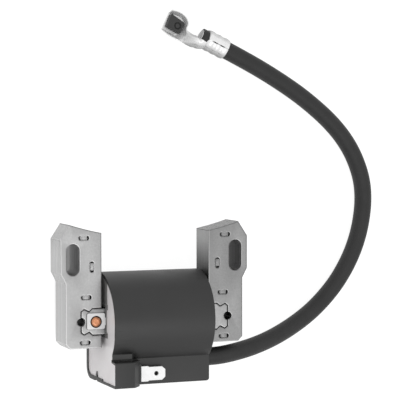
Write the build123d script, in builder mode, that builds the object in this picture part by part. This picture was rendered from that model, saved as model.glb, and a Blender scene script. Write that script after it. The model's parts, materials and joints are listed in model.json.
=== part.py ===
from build123d import *
import math
import os

# Magneto ignition coil for a small engine, in millimetres.
# +X runs along the core bar from the open (potted) end of the case to the lead end, +Y points at
# the flywheel and +Z is the thickness of the lamination stack. The coil lies on the flat back of
# its case, on z = 0, with the high-tension lead and its plug clip lying on the same surface.

# ---- driving dimensions: laminated core ----
AXIS_Z = 16.5                  # height of the core bar's centreline
STACK = 13.0                   # thickness of the lamination stack
LEG_INNER_X = 22.3             # inner edge of each leg
LEG_OUTER_X = 38.85            # outer edge of the leg beside its slot
LEG_FOOT_X = 36.85             # outer edge of the leg beside the core bar
LEG_FOOT_Y = -10.3             # bottom end of the leg
FLYWHEEL_R = 114.0             # radius of the pole faces
POLE_INNER_Y = 34.3            # pole face height at the leg's inner edge
POLE_OUTER_X = 35.0            # where the pole face meets the corner chamfer
CHAMFER_Y = 31.8               # lower end of that chamfer
WAIST_TOP_Y = 18.8             # the outer edge steps in between these two heights
WAIST_LOW_Y = 15.0
FOOT_CUT = 1.8                 # chamfer at the foot of the leg
SLOT_X = 33.76                 # mounting slot centre
SLOT_Y = 24.15
SLOT_W = 5.2
SLOT_L = 12.2
DIMPLE_L = 4.2                 # lamination interlocks: half-pierced ovals
DIMPLE_W = 1.7
DIMPLE_DEPTH = 0.45
DIMPLES = [(29.4, 32.5, 0), (26.15, 21.25, 90), (28.45, 9.5, 0), (28.9, -8.0, 0)]

# ---- driving dimensions: core bar and its locking heads ----
BAR_H = 10.6                   # core bar, along Y
HEAD_END_X = 30.7
HEAD_WIDE_X = 29.4
HEAD_NECK_X = 27.35
HEAD_SLOPE = 1.4               # run of the slope down to the neck
HEAD_CORNER = 1.0              # how far the head narrows to its end
NECK_HALF = 4.1
HEAD_HALF = 5.1
KEY_HOLE_R = 1.45              # relief hole where the bar's end meets the leg

# ---- driving dimensions: case ----
CASE_LEFT = -21.0
CASE_RIGHT = 20.45
CASE_R = 18.6
CASE_WALL = 1.6
RIM_R = 0.35                   # rounding of the coil space's rim at the lead end
BOX_BOTTOM_Y = -24.8           # lower box, which holds the electronics
BOX_FRONT_Z = AXIS_Z + 11.65
BOX_END_R = 1.3                # rounding of the box's lower edge at the lead end
BOX_EDGE_R = 0.9               # rounding along the box's lower front edge
BACK_CORNER_R = 5.0
RIB_Z0 = 10.2                  # wedge-shaped rib inside the bottom, with a groove outside it
RIB_Z1 = 13.7
RIB_TOP_Y = -20.8
RIB_TOP_Z = 12.6
GROOVE_DEPTH = 0.9
BLOCK_FRONT_Z = AXIS_Z + 18.9
BLOCK_TOP_Y = -14.8
BLOCK_END_X = -13.0
BLOCK_FOOT_X = -9.6            # its slanted side comes down on the boss here
BLOCK_EDGE = 0.7
STEP_FRONT_Z = AXIS_Z + 15.5
STEP_TOP_Y = -12.0
STEP_END_X = -13.1
SEAM_W = 0.7                   # groove between the step and the block
SEAM_FRONT_Z = STEP_FRONT_Z - 0.9
SHOULDER_LINE = [(-2.5, 35.0), (-5.9, 34.9), (-7.6, 34.5), (-9.2, 33.8), (-10.5, 33.0)]
SHOULDER_END_X = -12.4         # the shoulder fades into the round coil space here
LIP = 0.45                     # the front wall is thinned to this at the open end
LIP_BOTTOM = 0.9
LIP_DEPTH = 1.6
MOUTH_R = 17.6                 # the open end's front edge, set off towards the front
MOUTH_Y = -0.6
MOUTH_Z = 17.1
BOSS_RIGHT_X = -8.9            # boss that guides the kill blade out of the box
BOSS_TOP_Y = -16.3
BOSS_FRONT_Z = 31.0
BOSS_OVERLAP = 1.5

# ---- driving dimensions: coil ----
POTTING_FACE_X = CASE_LEFT + 0.4
BOBBIN_CLEAR = 0.1
TUBE_WALL = 1.1
COLLAR_X = -20.95              # the bobbin's collar stands out of the potting
COLLAR_BRIDGE_X = -20.2        # the collar closes over the ground plate's tail as far as this
EAR_END_X = -19.6
EAR_FRONT_Z = 25.4             # the collar's front corners stand up
EAR_W = 1.9
WEB_X = -20.8                  # web between the collar and the top of the case
WEB_HALF = 8.3
PRIMARY_LEFT = -16.4
PRIMARY_RIGHT = 15.4
FLANGE_T = 1.1
PRIMARY_BUILD = 2.2            # winding thicknesses
SLEEVE_T = 0.5
SECONDARY_WALL = 0.9
SECONDARY_BUILD = 2.4
SECONDARY_RIB = 2.9
SECONDARY_LEFT = -15.0
SECONDARY_SPAN = 29.4
SECTIONS = 6
RIB_T = 0.8

# ---- driving dimensions: electronics ----
BOARD_TOP_Y = -17.6
BOARD_T = 1.0
BOARD_X0 = -19.2
BOARD_X1 = 4.6
BOARD_Z0 = 4.0
BOARD_Z1 = 26.0
WIRE_D = 0.8

# ---- driving dimensions: terminals ----
BLADE_T = 0.8
BLADE_Z = 29.9                 # middle of the blade's thickness
BLADE_Y = -20.3
BLADE_TIP_X = 1.4
BLADE_W = 5.3
SHOULDER_W = 6.0
SHOULDER_X = -5.9
BLADE_ROOT = 2.0               # how far the blade runs into the boss before it turns down
BLADE_HOLE_X = -2.45
BLADE_HOLE_R = 0.85
PLATE_LEFT_X = -28.5
PLATE_RIGHT_X = -21.2
PLATE_Y0 = -2.9
PLATE_Y1 = 3.35
PLATE_T = 0.8
TAIL_END_X = -18.4             # the plate's tail runs under the collar to the ground wire
TAIL_W = 3.0
PAD_X = -18.9
PAD_L = 1.0
PAD_T = 0.5
RIVET_X = -24.8
RIVET_R = 1.95
RIVET_SHANK_R = 1.2

# ---- driving dimensions: high-tension lead and plug clip ----
LEAD_D = 7.2
CONDUCTOR_D = 1.8
LEAD_START_X = 8.0
CLIP_T = 0.6                   # sheet thickness of the clip
LEAD_REST_Z = LEAD_D / 2
CLIP_AXIS_Z = LEAD_D / 2 + CLIP_T
# The lead's route: out of the case, down to the surface, then round in one open bend.
LEAD_ROUTE = [
    (LEAD_START_X, -16.9, 17.0),
    (29.0, -16.9, 17.0),
    (46.5, -14.2, 12.4),
    (63.8, -10.2, 5.6),
    (79.4, -0.2, LEAD_REST_Z),
    (90.3, 11.6, LEAD_REST_Z),
    (97.9, 26.8, LEAD_REST_Z),
    (101.0, 43.6, LEAD_REST_Z),
    (98.7, 60.8, LEAD_REST_Z),
    (89.9, 75.6, LEAD_REST_Z),
    (75.4, 86.4, LEAD_REST_Z),
    (59.6, 95.6, LEAD_REST_Z),
    (43.57, 103.19, CLIP_AXIS_Z),
    (26.47, 111.26, CLIP_AXIS_Z),
]
STUB_LENGTH = 2.5              # lead that shows past the crimp
PLUG_LENGTH = 3.0              # the conductor stops this far inside the lead's end
CLIP_BARREL = 9.4              # length of the crimped barrel
CRIMPS = 3                     # crimp bands along the barrel
CRIMP_BULGE = 0.25             # each band swells by this much between its grooves
GROOVE_HOLE_R = 0.4            # small holes where the crimp grooves cross the seam
CRIMP_SEAM_Y = -0.45
CRIMP_SEAM_W = 0.3
CRIMP_SEAM_DEPTH = 0.25
TOOTH_X = 5.2                  # tooth that pierces the lead to reach the conductor
TOOTH_R = 0.6
TOOTH_TIP_R = 0.15
WING_END_X = 12.6              # the wing on the coil side goes on past the barrel
WING_FADE_X = 16.4             # and comes down to the jaw's wall here
WING_EDGE_Y = 2.4
JAW_WALL_H = 3.4
JAW_END = 27.3                 # open end of the jaw, along the clip
INSERT_H = 2.8
INSERT_CORNER_R = 0.5
STUD_HOLE_X = 22.4             # hole that takes the plug's stud, along and across the clip
STUD_HOLE_Y = 0.2
STUD_HOLE_R = 1.8
STUD_HOLE_DEPTH = 2.2
STUD_RING_R = 1.35             # ring groove that marks the stud's place on the insert's face
STUD_RING_T = 0.3
# The clip's sheet in its own plane: x along the lead from the barrel's mouth, y towards the coil.
# Each wall leans outwards, from a line on the floor to a line at its top.
COIL_SIDE_FOOT = [(12.2, 3.4), (15.0, 3.5), (19.0, 3.9), (23.4, 4.1), (JAW_END, 4.0)]
COIL_SIDE_TOP = [(12.2, 4.2), (15.0, 4.5), (19.0, 5.1), (23.4, 5.6), (JAW_END, 5.0)]
CURL_FOOT = [
    (JAW_END, -3.5),
    (24.6, -3.8),
    (22.0, -4.0),
    (20.4, -3.5),
    (19.3, -2.4),
    (18.9, -0.9),
    (17.6, 0.2),
    (15.2, 0.75),
    (12.2, 0.5),
]
CURL_TOP = [
    (JAW_END, -4.6),
    (24.7, -5.0),
    (21.9, -5.0),
    (20.2, -4.3),
    (18.9, -2.9),
    (18.5, -1.0),
    (17.4, 0.1),
    (15.2, 0.7),
    (12.2, 0.4),
]
NECK_LOW_Y = -1.6              # the floor's neck between the barrel and the jaw
NECK_HIGH_Y = 3.4
NECK_END_X = 11.6
INSERT_OUTLINE = [(26.8, -3.1), (19.8, -2.1), (20.2, 2.8), (26.5, 2.5)]

parts_made = []


def finish(builder, name):
    """Label a finished piece and write it as its own STEP file."""
    builder.part.label = name
    export_step(builder.part, os.path.join("parts", name + ".step"))
    parts_made.append(builder.part)


def pole_y(x):
    """Height of the concave pole face at a distance x from the middle of the coil."""
    centre_y = POLE_INNER_Y + math.sqrt(FLYWHEEL_R**2 - LEG_INNER_X**2)
    return centre_y - math.sqrt(FLYWHEEL_R**2 - x**2)


def head_outline():
    """Upper half of the core bar's locking head, from the leg's inner edge to the head's end."""
    half = BAR_H / 2
    return [
        (LEG_INNER_X, half),
        (HEAD_NECK_X - HEAD_SLOPE, half),
        (HEAD_NECK_X, NECK_HALF),
        (HEAD_WIDE_X, HEAD_HALF),
        (HEAD_END_X, HEAD_HALF - HEAD_CORNER),
    ]


def ring_section(x, outer, inner, outer_r, inner_r):
    """Section, at x, of a rounded rectangular tube around the core's centreline."""
    with BuildSketch(Plane.YZ.offset(x)) as section:
        with Locations((0, AXIS_Z)):
            RectangleRounded(outer[0], outer[1], outer_r)
            RectangleRounded(inner[0], inner[1], inner_r, mode=Mode.SUBTRACT)
    return section.sketch


def grown(size, thickness):
    """The section of a layer laid on a rectangular section."""
    return (size[0] + 2 * thickness, size[1] + 2 * thickness)


os.makedirs("parts", exist_ok=True)

# ==== laminated legs ====
with BuildPart() as right_leg:
    with BuildSketch(Plane.XY.offset(AXIS_Z - STACK / 2)):
        with BuildLine():
            middle_x = (LEG_INNER_X + POLE_OUTER_X) / 2
            Polyline(
                (LEG_INNER_X, POLE_INNER_Y),
                (LEG_INNER_X, LEG_FOOT_Y),
                (LEG_FOOT_X - FOOT_CUT, LEG_FOOT_Y),
                (LEG_FOOT_X, LEG_FOOT_Y + FOOT_CUT),
                (LEG_FOOT_X, WAIST_LOW_Y),
                (LEG_OUTER_X, WAIST_TOP_Y),
                (LEG_OUTER_X, CHAMFER_Y),
                (POLE_OUTER_X, pole_y(POLE_OUTER_X)),
            )
            ThreePointArc(
                (POLE_OUTER_X, pole_y(POLE_OUTER_X)),
                (middle_x, pole_y(middle_x)),
                (LEG_INNER_X, POLE_INNER_Y),
            )
        make_face()
        with Locations((SLOT_X, SLOT_Y)):
            SlotOverall(SLOT_L, SLOT_W, rotation=90, mode=Mode.SUBTRACT)
        with BuildLine():
            upper = head_outline()
            lower = [(x, -y) for x, y in reversed(upper)]
            Polyline(*upper, *lower, close=True)
        make_face(mode=Mode.SUBTRACT)
        with Locations((HEAD_END_X, 0)):
            Circle(KEY_HOLE_R, mode=Mode.SUBTRACT)
    extrude(amount=STACK)
    with BuildSketch(Plane.XY.offset(AXIS_Z + STACK / 2)):
        for x, y, turn in DIMPLES:
            with Locations((x, y)):
                SlotOverall(DIMPLE_L, DIMPLE_W, rotation=turn)
    extrude(amount=-DIMPLE_DEPTH, mode=Mode.SUBTRACT)
finish(right_leg, "right_leg")

with BuildPart() as left_leg:
    add(mirror(right_leg.part, about=Plane.YZ))
finish(left_leg, "left_leg")

# ==== core bar, with a locking head at each end ====
with BuildPart() as core_bar:
    with BuildSketch(Plane.XY.offset(AXIS_Z - STACK / 2)):
        with BuildLine():
            upper = head_outline()
            right_side = upper + [(x, -y) for x, y in reversed(upper)]
            left_side = [(-x, y) for x, y in reversed(right_side)]
            Polyline(*right_side, *left_side, close=True)
        make_face()
        with Locations((HEAD_END_X, 0), (-HEAD_END_X, 0)):
            Circle(KEY_HOLE_R, mode=Mode.SUBTRACT)
    extrude(amount=STACK)
    with BuildSketch(Plane.XY.offset(AXIS_Z + STACK / 2)):
        with Locations((RIVET_X, 0)):
            Circle(RIVET_SHANK_R)
    extrude(amount=-4.0, mode=Mode.SUBTRACT)
finish(core_bar, "core_bar")

# ==== primary bobbin, winding and sleeve ====
tube_in = grown((BAR_H, STACK), BOBBIN_CLEAR)
tube_out = grown(tube_in, TUBE_WALL)
primary_out = grown(tube_out, PRIMARY_BUILD)
sleeve_out = grown(primary_out, SLEEVE_T)
flange_out = grown(sleeve_out, SECONDARY_WALL)

with BuildPart() as primary_bobbin:
    extrude(ring_section(COLLAR_X, tube_out, tube_in, 1.2, 0.1), amount=PRIMARY_RIGHT + FLANGE_T - COLLAR_X)
    for flange_x in (PRIMARY_LEFT - FLANGE_T, PRIMARY_RIGHT):
        extrude(ring_section(flange_x, flange_out, tube_in, 3.0, 0.1), amount=FLANGE_T)
    # the collar's front corners stand up beside the ground plate
    with BuildSketch(Plane.YZ.offset(COLLAR_X)):
        for side in (1, -1):
            with Locations((side * (tube_out[0] - EAR_W) / 2, (AXIS_Z + EAR_FRONT_Z + tube_in[1] / 2) / 2)):
                Rectangle(EAR_W, EAR_FRONT_Z - AXIS_Z - tube_in[1] / 2)
    extrude(amount=EAR_END_X - COLLAR_X)
    # web from the collar to the top of the case
    with BuildSketch(Plane.YZ.offset(WEB_X)):
        with Locations((0, AXIS_Z)):
            Circle(CASE_R - CASE_WALL - BOBBIN_CLEAR)
            with Locations((CASE_R / 2 + tube_in[0] / 2, 0)):
                Rectangle(CASE_R, 2 * WEB_HALF, mode=Mode.INTERSECT)
    extrude(amount=PRIMARY_LEFT - FLANGE_T - WEB_X)
    # the ground plate's tail passes under the collar into an open notch
    for notch_x, notch_h in ((COLLAR_X - 1, PLATE_T + 0.05), (COLLAR_BRIDGE_X, 2 * TUBE_WALL)):
        with BuildSketch(Plane.XY.offset(AXIS_Z + STACK / 2)):
            with Locations((TAIL_END_X + 0.2, 0)):
                Rectangle(TAIL_END_X + 0.2 - notch_x, TAIL_W + 0.2, align=(Align.MAX, Align.CENTER))
        extrude(amount=notch_h, mode=Mode.SUBTRACT)
finish(primary_bobbin, "primary_bobbin")

with BuildPart() as primary_winding:
    extrude(ring_section(PRIMARY_LEFT, primary_out, tube_out, 2.6, 1.2), amount=PRIMARY_RIGHT - PRIMARY_LEFT)
finish(primary_winding, "primary_winding")

with BuildPart() as insulation_sleeve:
    extrude(ring_section(SECONDARY_LEFT, sleeve_out, primary_out, 3.0, 2.6), amount=SECONDARY_SPAN)
finish(insulation_sleeve, "insulation_sleeve")

# ==== secondary bobbin: ribs part the winding into sections ====
secondary_tube = grown(sleeve_out, SECONDARY_WALL)
secondary_out = grown(secondary_tube, SECONDARY_BUILD)
rib_out = grown(secondary_tube, SECONDARY_RIB)
rib_pitch = (SECONDARY_SPAN - RIB_T) / SECTIONS

with BuildPart() as secondary_bobbin:
    extrude(ring_section(SECONDARY_LEFT, secondary_tube, sleeve_out, 3.6, 3.0), amount=SECONDARY_SPAN)
    for index in range(SECTIONS + 1):
        rib_x = SECONDARY_LEFT + index * rib_pitch
        extrude(ring_section(rib_x, rib_out, sleeve_out, 7.0, 3.0), amount=RIB_T)
finish(secondary_bobbin, "secondary_bobbin")

with BuildPart() as secondary_winding:
    for index in range(SECTIONS):
        coil_x = SECONDARY_LEFT + index * rib_pitch + RIB_T
        extrude(ring_section(coil_x, secondary_out, secondary_tube, 6.0, 3.6), amount=rib_pitch - RIB_T)
finish(secondary_winding, "secondary_winding")


# ==== moulded case ====
def case_section(inset):
    """The case's section on the YZ plane: a round coil space on a lower box with a flat back."""
    low = BOX_BOTTOM_Y + inset
    front = BOX_FRONT_Z - inset
    with BuildSketch() as section:
        with Locations((0, AXIS_Z)):
            Circle(CASE_R - inset)
        with BuildLine():
            Polyline((0, inset), (low, inset), (low, front), (0, front), close=True)
        make_face()
        with Locations((0, inset - 5)):
            Rectangle(2 * CASE_R + 2, 10, mode=Mode.SUBTRACT)
        corners = section.vertices().filter_by_position(Axis.X, low - 0.01, low + 0.01).sort_by(Axis.Y)
        fillet(corners[0], BACK_CORNER_R - inset)
        corners = section.vertices().filter_by_position(Axis.X, low - 0.01, low + 0.01).sort_by(Axis.Y)
        fillet(corners[-1], max(BOX_EDGE_R - inset, 0.3))
    return section.sketch


def wedge(low, height, top_z):
    """Triangle on the YZ plane, on a base at low: the rib inside the bottom or the groove outside it."""
    with BuildSketch() as section:
        with BuildLine():
            Polyline((low, RIB_Z0), (low + height, top_z), (low, RIB_Z1), close=True)
        make_face()
    return section.sketch


def cavity_section():
    """Section of the space inside the case, with the rib left standing."""
    with BuildSketch() as section:
        add(case_section(CASE_WALL))
        add(wedge(BOX_BOTTOM_Y, RIB_TOP_Y - BOX_BOTTOM_Y, RIB_TOP_Z), mode=Mode.SUBTRACT)
    return section.sketch


def front_section(inset, inset_below):
    """Section at the potted end of what stands in front of the box: shoulder, step and block."""
    with BuildSketch() as section:
        with BuildLine():
            shoulder = [(y, z - inset) for y, z in SHOULDER_LINE]
            Polyline(
                *shoulder,
                (STEP_TOP_Y, STEP_FRONT_Z - inset),
                (BLOCK_TOP_Y + SEAM_W, STEP_FRONT_Z - inset),
                (BLOCK_TOP_Y + SEAM_W, SEAM_FRONT_Z - inset),
                (BLOCK_TOP_Y - inset, SEAM_FRONT_Z - inset),
                (BLOCK_TOP_Y - 2 * inset, BLOCK_FRONT_Z - inset),
                (BOX_BOTTOM_Y + inset_below, BLOCK_FRONT_Z - inset),
                (BOX_BOTTOM_Y + inset_below, AXIS_Z),
                (SHOULDER_LINE[0][0], AXIS_Z),
                close=True,
            )
        make_face()
    return section.sketch


def mouth_section():
    """Section of the widened mouth: the resin comes close to the front of the case there."""
    with BuildSketch() as section:
        add(front_section(LIP, LIP_BOTTOM))
        with Locations((MOUTH_Y, MOUTH_Z)):
            Circle(MOUTH_R)
        with Locations((BOX_BOTTOM_Y, AXIS_Z + 3)):
            Rectangle(4 * CASE_R, 2 * CASE_R, align=(Align.CENTER, Align.MAX), mode=Mode.SUBTRACT)
    return section.sketch


def shoulder_section(x, drop):
    """Section of the shoulder at x; with a drop it lies just inside the round coil space."""
    with BuildSketch(Plane.YZ.offset(x)) as section:
        with BuildLine():
            ends = [*SHOULDER_LINE, (STEP_TOP_Y, STEP_FRONT_Z)]
            if drop:
                ends = [(y, AXIS_Z + math.sqrt(CASE_R**2 - y**2) - drop) for y, _ in ends]
            Polyline(*ends, (STEP_TOP_Y, AXIS_Z + 9), (SHOULDER_LINE[0][0], AXIS_Z + 9), close=True)
        make_face()
    return section.sketch


def block_space(left_x):
    """Plan, on the XZ plane, of the space inside the block."""
    with BuildSketch(Plane.XZ.offset(-(BLOCK_TOP_Y - CASE_WALL))) as plan:
        with BuildLine():
            Polyline(
                (left_x, AXIS_Z),
                (left_x, BLOCK_FRONT_Z - CASE_WALL),
                (BLOCK_END_X - CASE_WALL, BLOCK_FRONT_Z - CASE_WALL),
                (BLOCK_FOOT_X - CASE_WALL, BOX_FRONT_Z - CASE_WALL),
                (BLOCK_FOOT_X - CASE_WALL, AXIS_Z),
                close=True,
            )
        make_face()
    return plan.sketch


block_space_h = BLOCK_TOP_Y - BOX_BOTTOM_Y - 2 * CASE_WALL

with BuildPart() as coil_case:
    with BuildSketch(Plane.YZ.offset(CASE_LEFT)):
        add(case_section(0))
        add(wedge(BOX_BOTTOM_Y, GROOVE_DEPTH, RIB_Z0 + GROOVE_DEPTH), mode=Mode.SUBTRACT)
    extrude(amount=CASE_RIGHT - CASE_LEFT)
    lead_end_rim = coil_case.faces().sort_by(Axis.X)[-1].outer_wire().edges().filter_by(GeomType.CIRCLE)
    fillet(lead_end_rim.sort_by(SortBy.LENGTH)[-1], RIM_R)
    # the box's lower edge is rounded at the lead end
    with BuildSketch(Plane.XY):
        corner_x = CASE_RIGHT - BOX_END_R
        corner_y = BOX_BOTTOM_Y + BOX_END_R
        with Locations((corner_x, corner_y)):
            Rectangle(2 * BOX_END_R, 2 * BOX_END_R, align=(Align.MIN, Align.MAX))
            Circle(BOX_END_R, mode=Mode.SUBTRACT)
    extrude(amount=BOX_FRONT_Z + 1, mode=Mode.SUBTRACT)
    # block at the potted end: a slanted right side, a step above it and a seam between
    with BuildSketch(Plane.XZ.offset(-BLOCK_TOP_Y)):
        with BuildLine():
            Polyline(
                (CASE_LEFT, AXIS_Z + 3),
                (CASE_LEFT, BLOCK_FRONT_Z),
                (BLOCK_END_X - BLOCK_EDGE, BLOCK_FRONT_Z),
                (BLOCK_END_X, BLOCK_FRONT_Z - BLOCK_EDGE / 2),
                (BLOCK_FOOT_X, BOSS_FRONT_Z),
                (BLOCK_FOOT_X, AXIS_Z + 3),
                close=True,
            )
        make_face()
    extrude(amount=BLOCK_TOP_Y - BOX_BOTTOM_Y)
    block_edges = coil_case.edges().filter_by(Axis.X).group_by(Axis.Z)[-1]
    fillet(block_edges, BLOCK_EDGE)
    with BuildSketch(Plane.XZ.offset(-STEP_TOP_Y)):
        with BuildLine():
            Polyline(
                (CASE_LEFT, AXIS_Z + 3),
                (CASE_LEFT, STEP_FRONT_Z),
                (STEP_END_X, STEP_FRONT_Z),
                (BLOCK_FOOT_X - 0.6, BOX_FRONT_Z - 1.5),
                (BLOCK_FOOT_X - 0.6, AXIS_Z + 3),
                close=True,
            )
        make_face()
    extrude(amount=STEP_TOP_Y - BLOCK_TOP_Y)
    with BuildSketch(Plane.XY.offset(SEAM_FRONT_Z)):
        with Locations((CASE_LEFT, BLOCK_TOP_Y + SEAM_W / 2)):
            Rectangle(2 * (BLOCK_FOOT_X - CASE_LEFT + 1), SEAM_W)
    extrude(amount=BLOCK_FRONT_Z - SEAM_FRONT_Z, mode=Mode.SUBTRACT)
    # shoulder that carries the round coil space down to the step
    loft([shoulder_section(CASE_LEFT, 0), shoulder_section(SHOULDER_END_X, 0.05)], ruled=True)
    # boss for the kill blade
    with BuildSketch(Plane.XY.offset(AXIS_Z + 3)):
        with Locations((BOSS_RIGHT_X, BOSS_TOP_Y)):
            Rectangle(
                BOSS_RIGHT_X - BLOCK_FOOT_X + BOSS_OVERLAP,
                BOSS_TOP_Y - BOX_BOTTOM_Y - BOX_EDGE_R,
                align=(Align.MAX, Align.MAX),
            )
    extrude(amount=BOSS_FRONT_Z - AXIS_Z - 3)
    # the space inside, open at the potted end
    with BuildSketch(Plane.YZ.offset(CASE_LEFT)):
        add(cavity_section())
    extrude(amount=CASE_RIGHT - CASE_LEFT - CASE_WALL, mode=Mode.SUBTRACT)
    # the block is hollow too
    extrude(block_space(CASE_LEFT), amount=block_space_h, mode=Mode.SUBTRACT)
    # the front wall is thinned to a lip at the open end
    with BuildSketch(Plane.YZ.offset(CASE_LEFT)):
        add(mouth_section())
    extrude(amount=LIP_DEPTH, mode=Mode.SUBTRACT)
    # openings in the lead end: the core bar's and the lead's
    with BuildSketch(Plane.YZ.offset(CASE_RIGHT)):
        with Locations((0, AXIS_Z)):
            Rectangle(tube_in[0], tube_in[1])
        with Locations((LEAD_ROUTE[0][1], LEAD_ROUTE[0][2])):
            Circle(LEAD_D / 2 + 0.1)
    extrude(amount=-CASE_WALL, mode=Mode.SUBTRACT)
    # slot that the kill blade passes through
    with BuildSketch(Plane.YZ.offset(BOSS_RIGHT_X)):
        with Locations((BLADE_Y, BLADE_Z)):
            Rectangle(SHOULDER_W, BLADE_T)
    extrude(amount=-BLADE_ROOT, mode=Mode.SUBTRACT)
    with BuildSketch(Plane.XY.offset(BLADE_Z + BLADE_T / 2)):
        with Locations((BOSS_RIGHT_X - BLADE_ROOT + BLADE_T / 2, BLADE_Y)):
            Rectangle(BLADE_T, SHOULDER_W)
    extrude(amount=-(BLADE_Z - BOX_FRONT_Z + CASE_WALL + 1), mode=Mode.SUBTRACT)
finish(coil_case, "coil_case")

# ==== kill terminal: a blade that turns down into the box ====
with BuildPart() as kill_terminal:
    with BuildSketch(Plane.XY.offset(BLADE_Z - BLADE_T / 2)):
        with BuildLine():
            half = BLADE_W / 2
            Polyline(
                (BOSS_RIGHT_X - BLADE_ROOT, BLADE_Y + SHOULDER_W / 2),
                (SHOULDER_X, BLADE_Y + SHOULDER_W / 2),
                (SHOULDER_X + 0.4, BLADE_Y + half),
                (BLADE_TIP_X - 1.5, BLADE_Y + half),
                (BLADE_TIP_X, BLADE_Y + half - 1.3),
                (BLADE_TIP_X, BLADE_Y - half + 1.3),
                (BLADE_TIP_X - 1.5, BLADE_Y - half),
                (SHOULDER_X + 0.4, BLADE_Y - half),
                (SHOULDER_X, BLADE_Y - SHOULDER_W / 2),
                (BOSS_RIGHT_X - BLADE_ROOT, BLADE_Y - SHOULDER_W / 2),
                close=True,
            )
        make_face()
        with Locations((BLADE_HOLE_X, BLADE_Y)):
            Circle(BLADE_HOLE_R, mode=Mode.SUBTRACT)
    extrude(amount=BLADE_T)
    with BuildSketch(Plane.XY.offset(BLADE_Z)):
        with Locations((BOSS_RIGHT_X - BLADE_ROOT + BLADE_T / 2, BLADE_Y)):
            Rectangle(BLADE_T, SHOULDER_W)
    extrude(amount=BOARD_Z1 - BLADE_Z)
    tip_edges = kill_terminal.edges().filter_by(Axis.Y).group_by(Axis.X)[-1]
    chamfer(tip_edges, 0.25)
finish(kill_terminal, "kill_terminal")

# ==== ground plate and its copper rivet ====
with BuildPart() as ground_plate:
    plate_z = AXIS_Z + STACK / 2
    with BuildSketch(Plane.XY.offset(plate_z)):
        with Locations(((PLATE_LEFT_X + PLATE_RIGHT_X) / 2, (PLATE_Y0 + PLATE_Y1) / 2)):
            RectangleRounded(PLATE_RIGHT_X - PLATE_LEFT_X, PLATE_Y1 - PLATE_Y0, 0.7)
        with Locations((TAIL_END_X, 0)):
            Rectangle(TAIL_END_X - PLATE_RIGHT_X + 1, TAIL_W, align=(Align.MAX, Align.CENTER))
        with Locations((RIVET_X, 0)):
            Circle(RIVET_R + 0.35, mode=Mode.SUBTRACT)
    extrude(amount=PLATE_T)
    with BuildSketch(Plane.XY.offset(plate_z + PLATE_T)):
        with Locations((PAD_X, 0)):
            Rectangle(PAD_L, TAIL_W - 0.6)
    extrude(amount=PAD_T)
finish(ground_plate, "ground_plate")

with BuildPart() as ground_rivet:
    with BuildSketch(Plane.XZ):
        with BuildLine():
            Polyline(
                (RIVET_X, plate_z - 3.6),
                (RIVET_X + RIVET_SHANK_R, plate_z - 3.6),
                (RIVET_X + RIVET_SHANK_R, plate_z),
                (RIVET_X + RIVET_R, plate_z),
                (RIVET_X + RIVET_R, plate_z + 0.7),
            )
            ThreePointArc(
                (RIVET_X + RIVET_R, plate_z + 0.7),
                (RIVET_X + RIVET_R - 0.45, plate_z + 1.1),
                (RIVET_X + RIVET_R - 1.1, plate_z + 1.2),
            )
            Polyline(
                (RIVET_X + RIVET_R - 1.1, plate_z + 1.2),
                (RIVET_X, plate_z + 1.2),
                (RIVET_X, plate_z - 3.6),
            )
        make_face()
    revolve(axis=Axis((RIVET_X, 0, 0), (0, 0, 1)))
finish(ground_rivet, "ground_rivet")

# ==== circuit board and what stands on it ====
board_mid_z = (BOARD_Z0 + BOARD_Z1) / 2
with BuildPart() as circuit_board:
    with BuildSketch(Plane.XZ.offset(-BOARD_TOP_Y)):
        with Locations(((BOARD_X0 + BOARD_X1) / 2, board_mid_z)):
            RectangleRounded(BOARD_X1 - BOARD_X0, BOARD_Z1 - BOARD_Z0, 0.8)
    extrude(amount=BOARD_T)
finish(circuit_board, "circuit_board")

with BuildPart() as power_transistor:
    with BuildSketch(Plane.XZ.offset(-BOARD_TOP_Y)):
        with Locations((-3.2, board_mid_z)):
            Rectangle(9.6, 9.0)
    extrude(amount=-3.2)
    body_top = power_transistor.faces().sort_by(Axis.Y)[-1]
    chamfer(body_top.edges(), 0.5)
finish(power_transistor, "power_transistor")

with BuildPart() as driver_transistor:
    with BuildSketch(Plane.XZ.offset(-BOARD_TOP_Y)):
        with Locations((-11.6, 21.0)):
            Circle(2.2)
            with Locations((0, 2.2)):
                Rectangle(4.4, 1.6, mode=Mode.SUBTRACT)
    extrude(amount=-2.6)
finish(driver_transistor, "driver_transistor")

with BuildPart() as resistors:
    for row in (0, 1):
        with BuildSketch(Plane.XY.offset(5.6)):
            with Locations((-15.2 + 4.2 * row, BOARD_TOP_Y + 1.1)):
                Circle(1.1)
        extrude(amount=6.4)
finish(resistors, "resistors")

with BuildPart() as diode:
    with BuildSketch(Plane.XY.offset(19.5)):
        with Locations((1.6, BOARD_TOP_Y + 1.0)):
            Circle(1.0)
    extrude(amount=4.6)
finish(diode, "diode")

# ==== wires inside the case ====
primary_out_y = -primary_out[0] / 2
wire_x = PRIMARY_LEFT + 0.65
with BuildPart() as primary_wires:
    with BuildSketch(Plane.XZ.offset(-primary_out_y)):
        with Locations((wire_x, AXIS_Z + 3.0), (wire_x, AXIS_Z - 3.0)):
            Circle(WIRE_D / 2)
    extrude(amount=primary_out_y - BOARD_TOP_Y)
finish(primary_wires, "primary_wires")

with BuildPart() as ground_wire:
    ground_wire_z = plate_z + PLATE_T + PAD_T + WIRE_D / 2
    with BuildSketch(Plane.XZ.offset(-PAD_L)):
        with Locations((PAD_X, ground_wire_z)):
            Circle(WIRE_D / 2)
    extrude(amount=PAD_L - BOARD_TOP_Y)
finish(ground_wire, "ground_wire")

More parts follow.
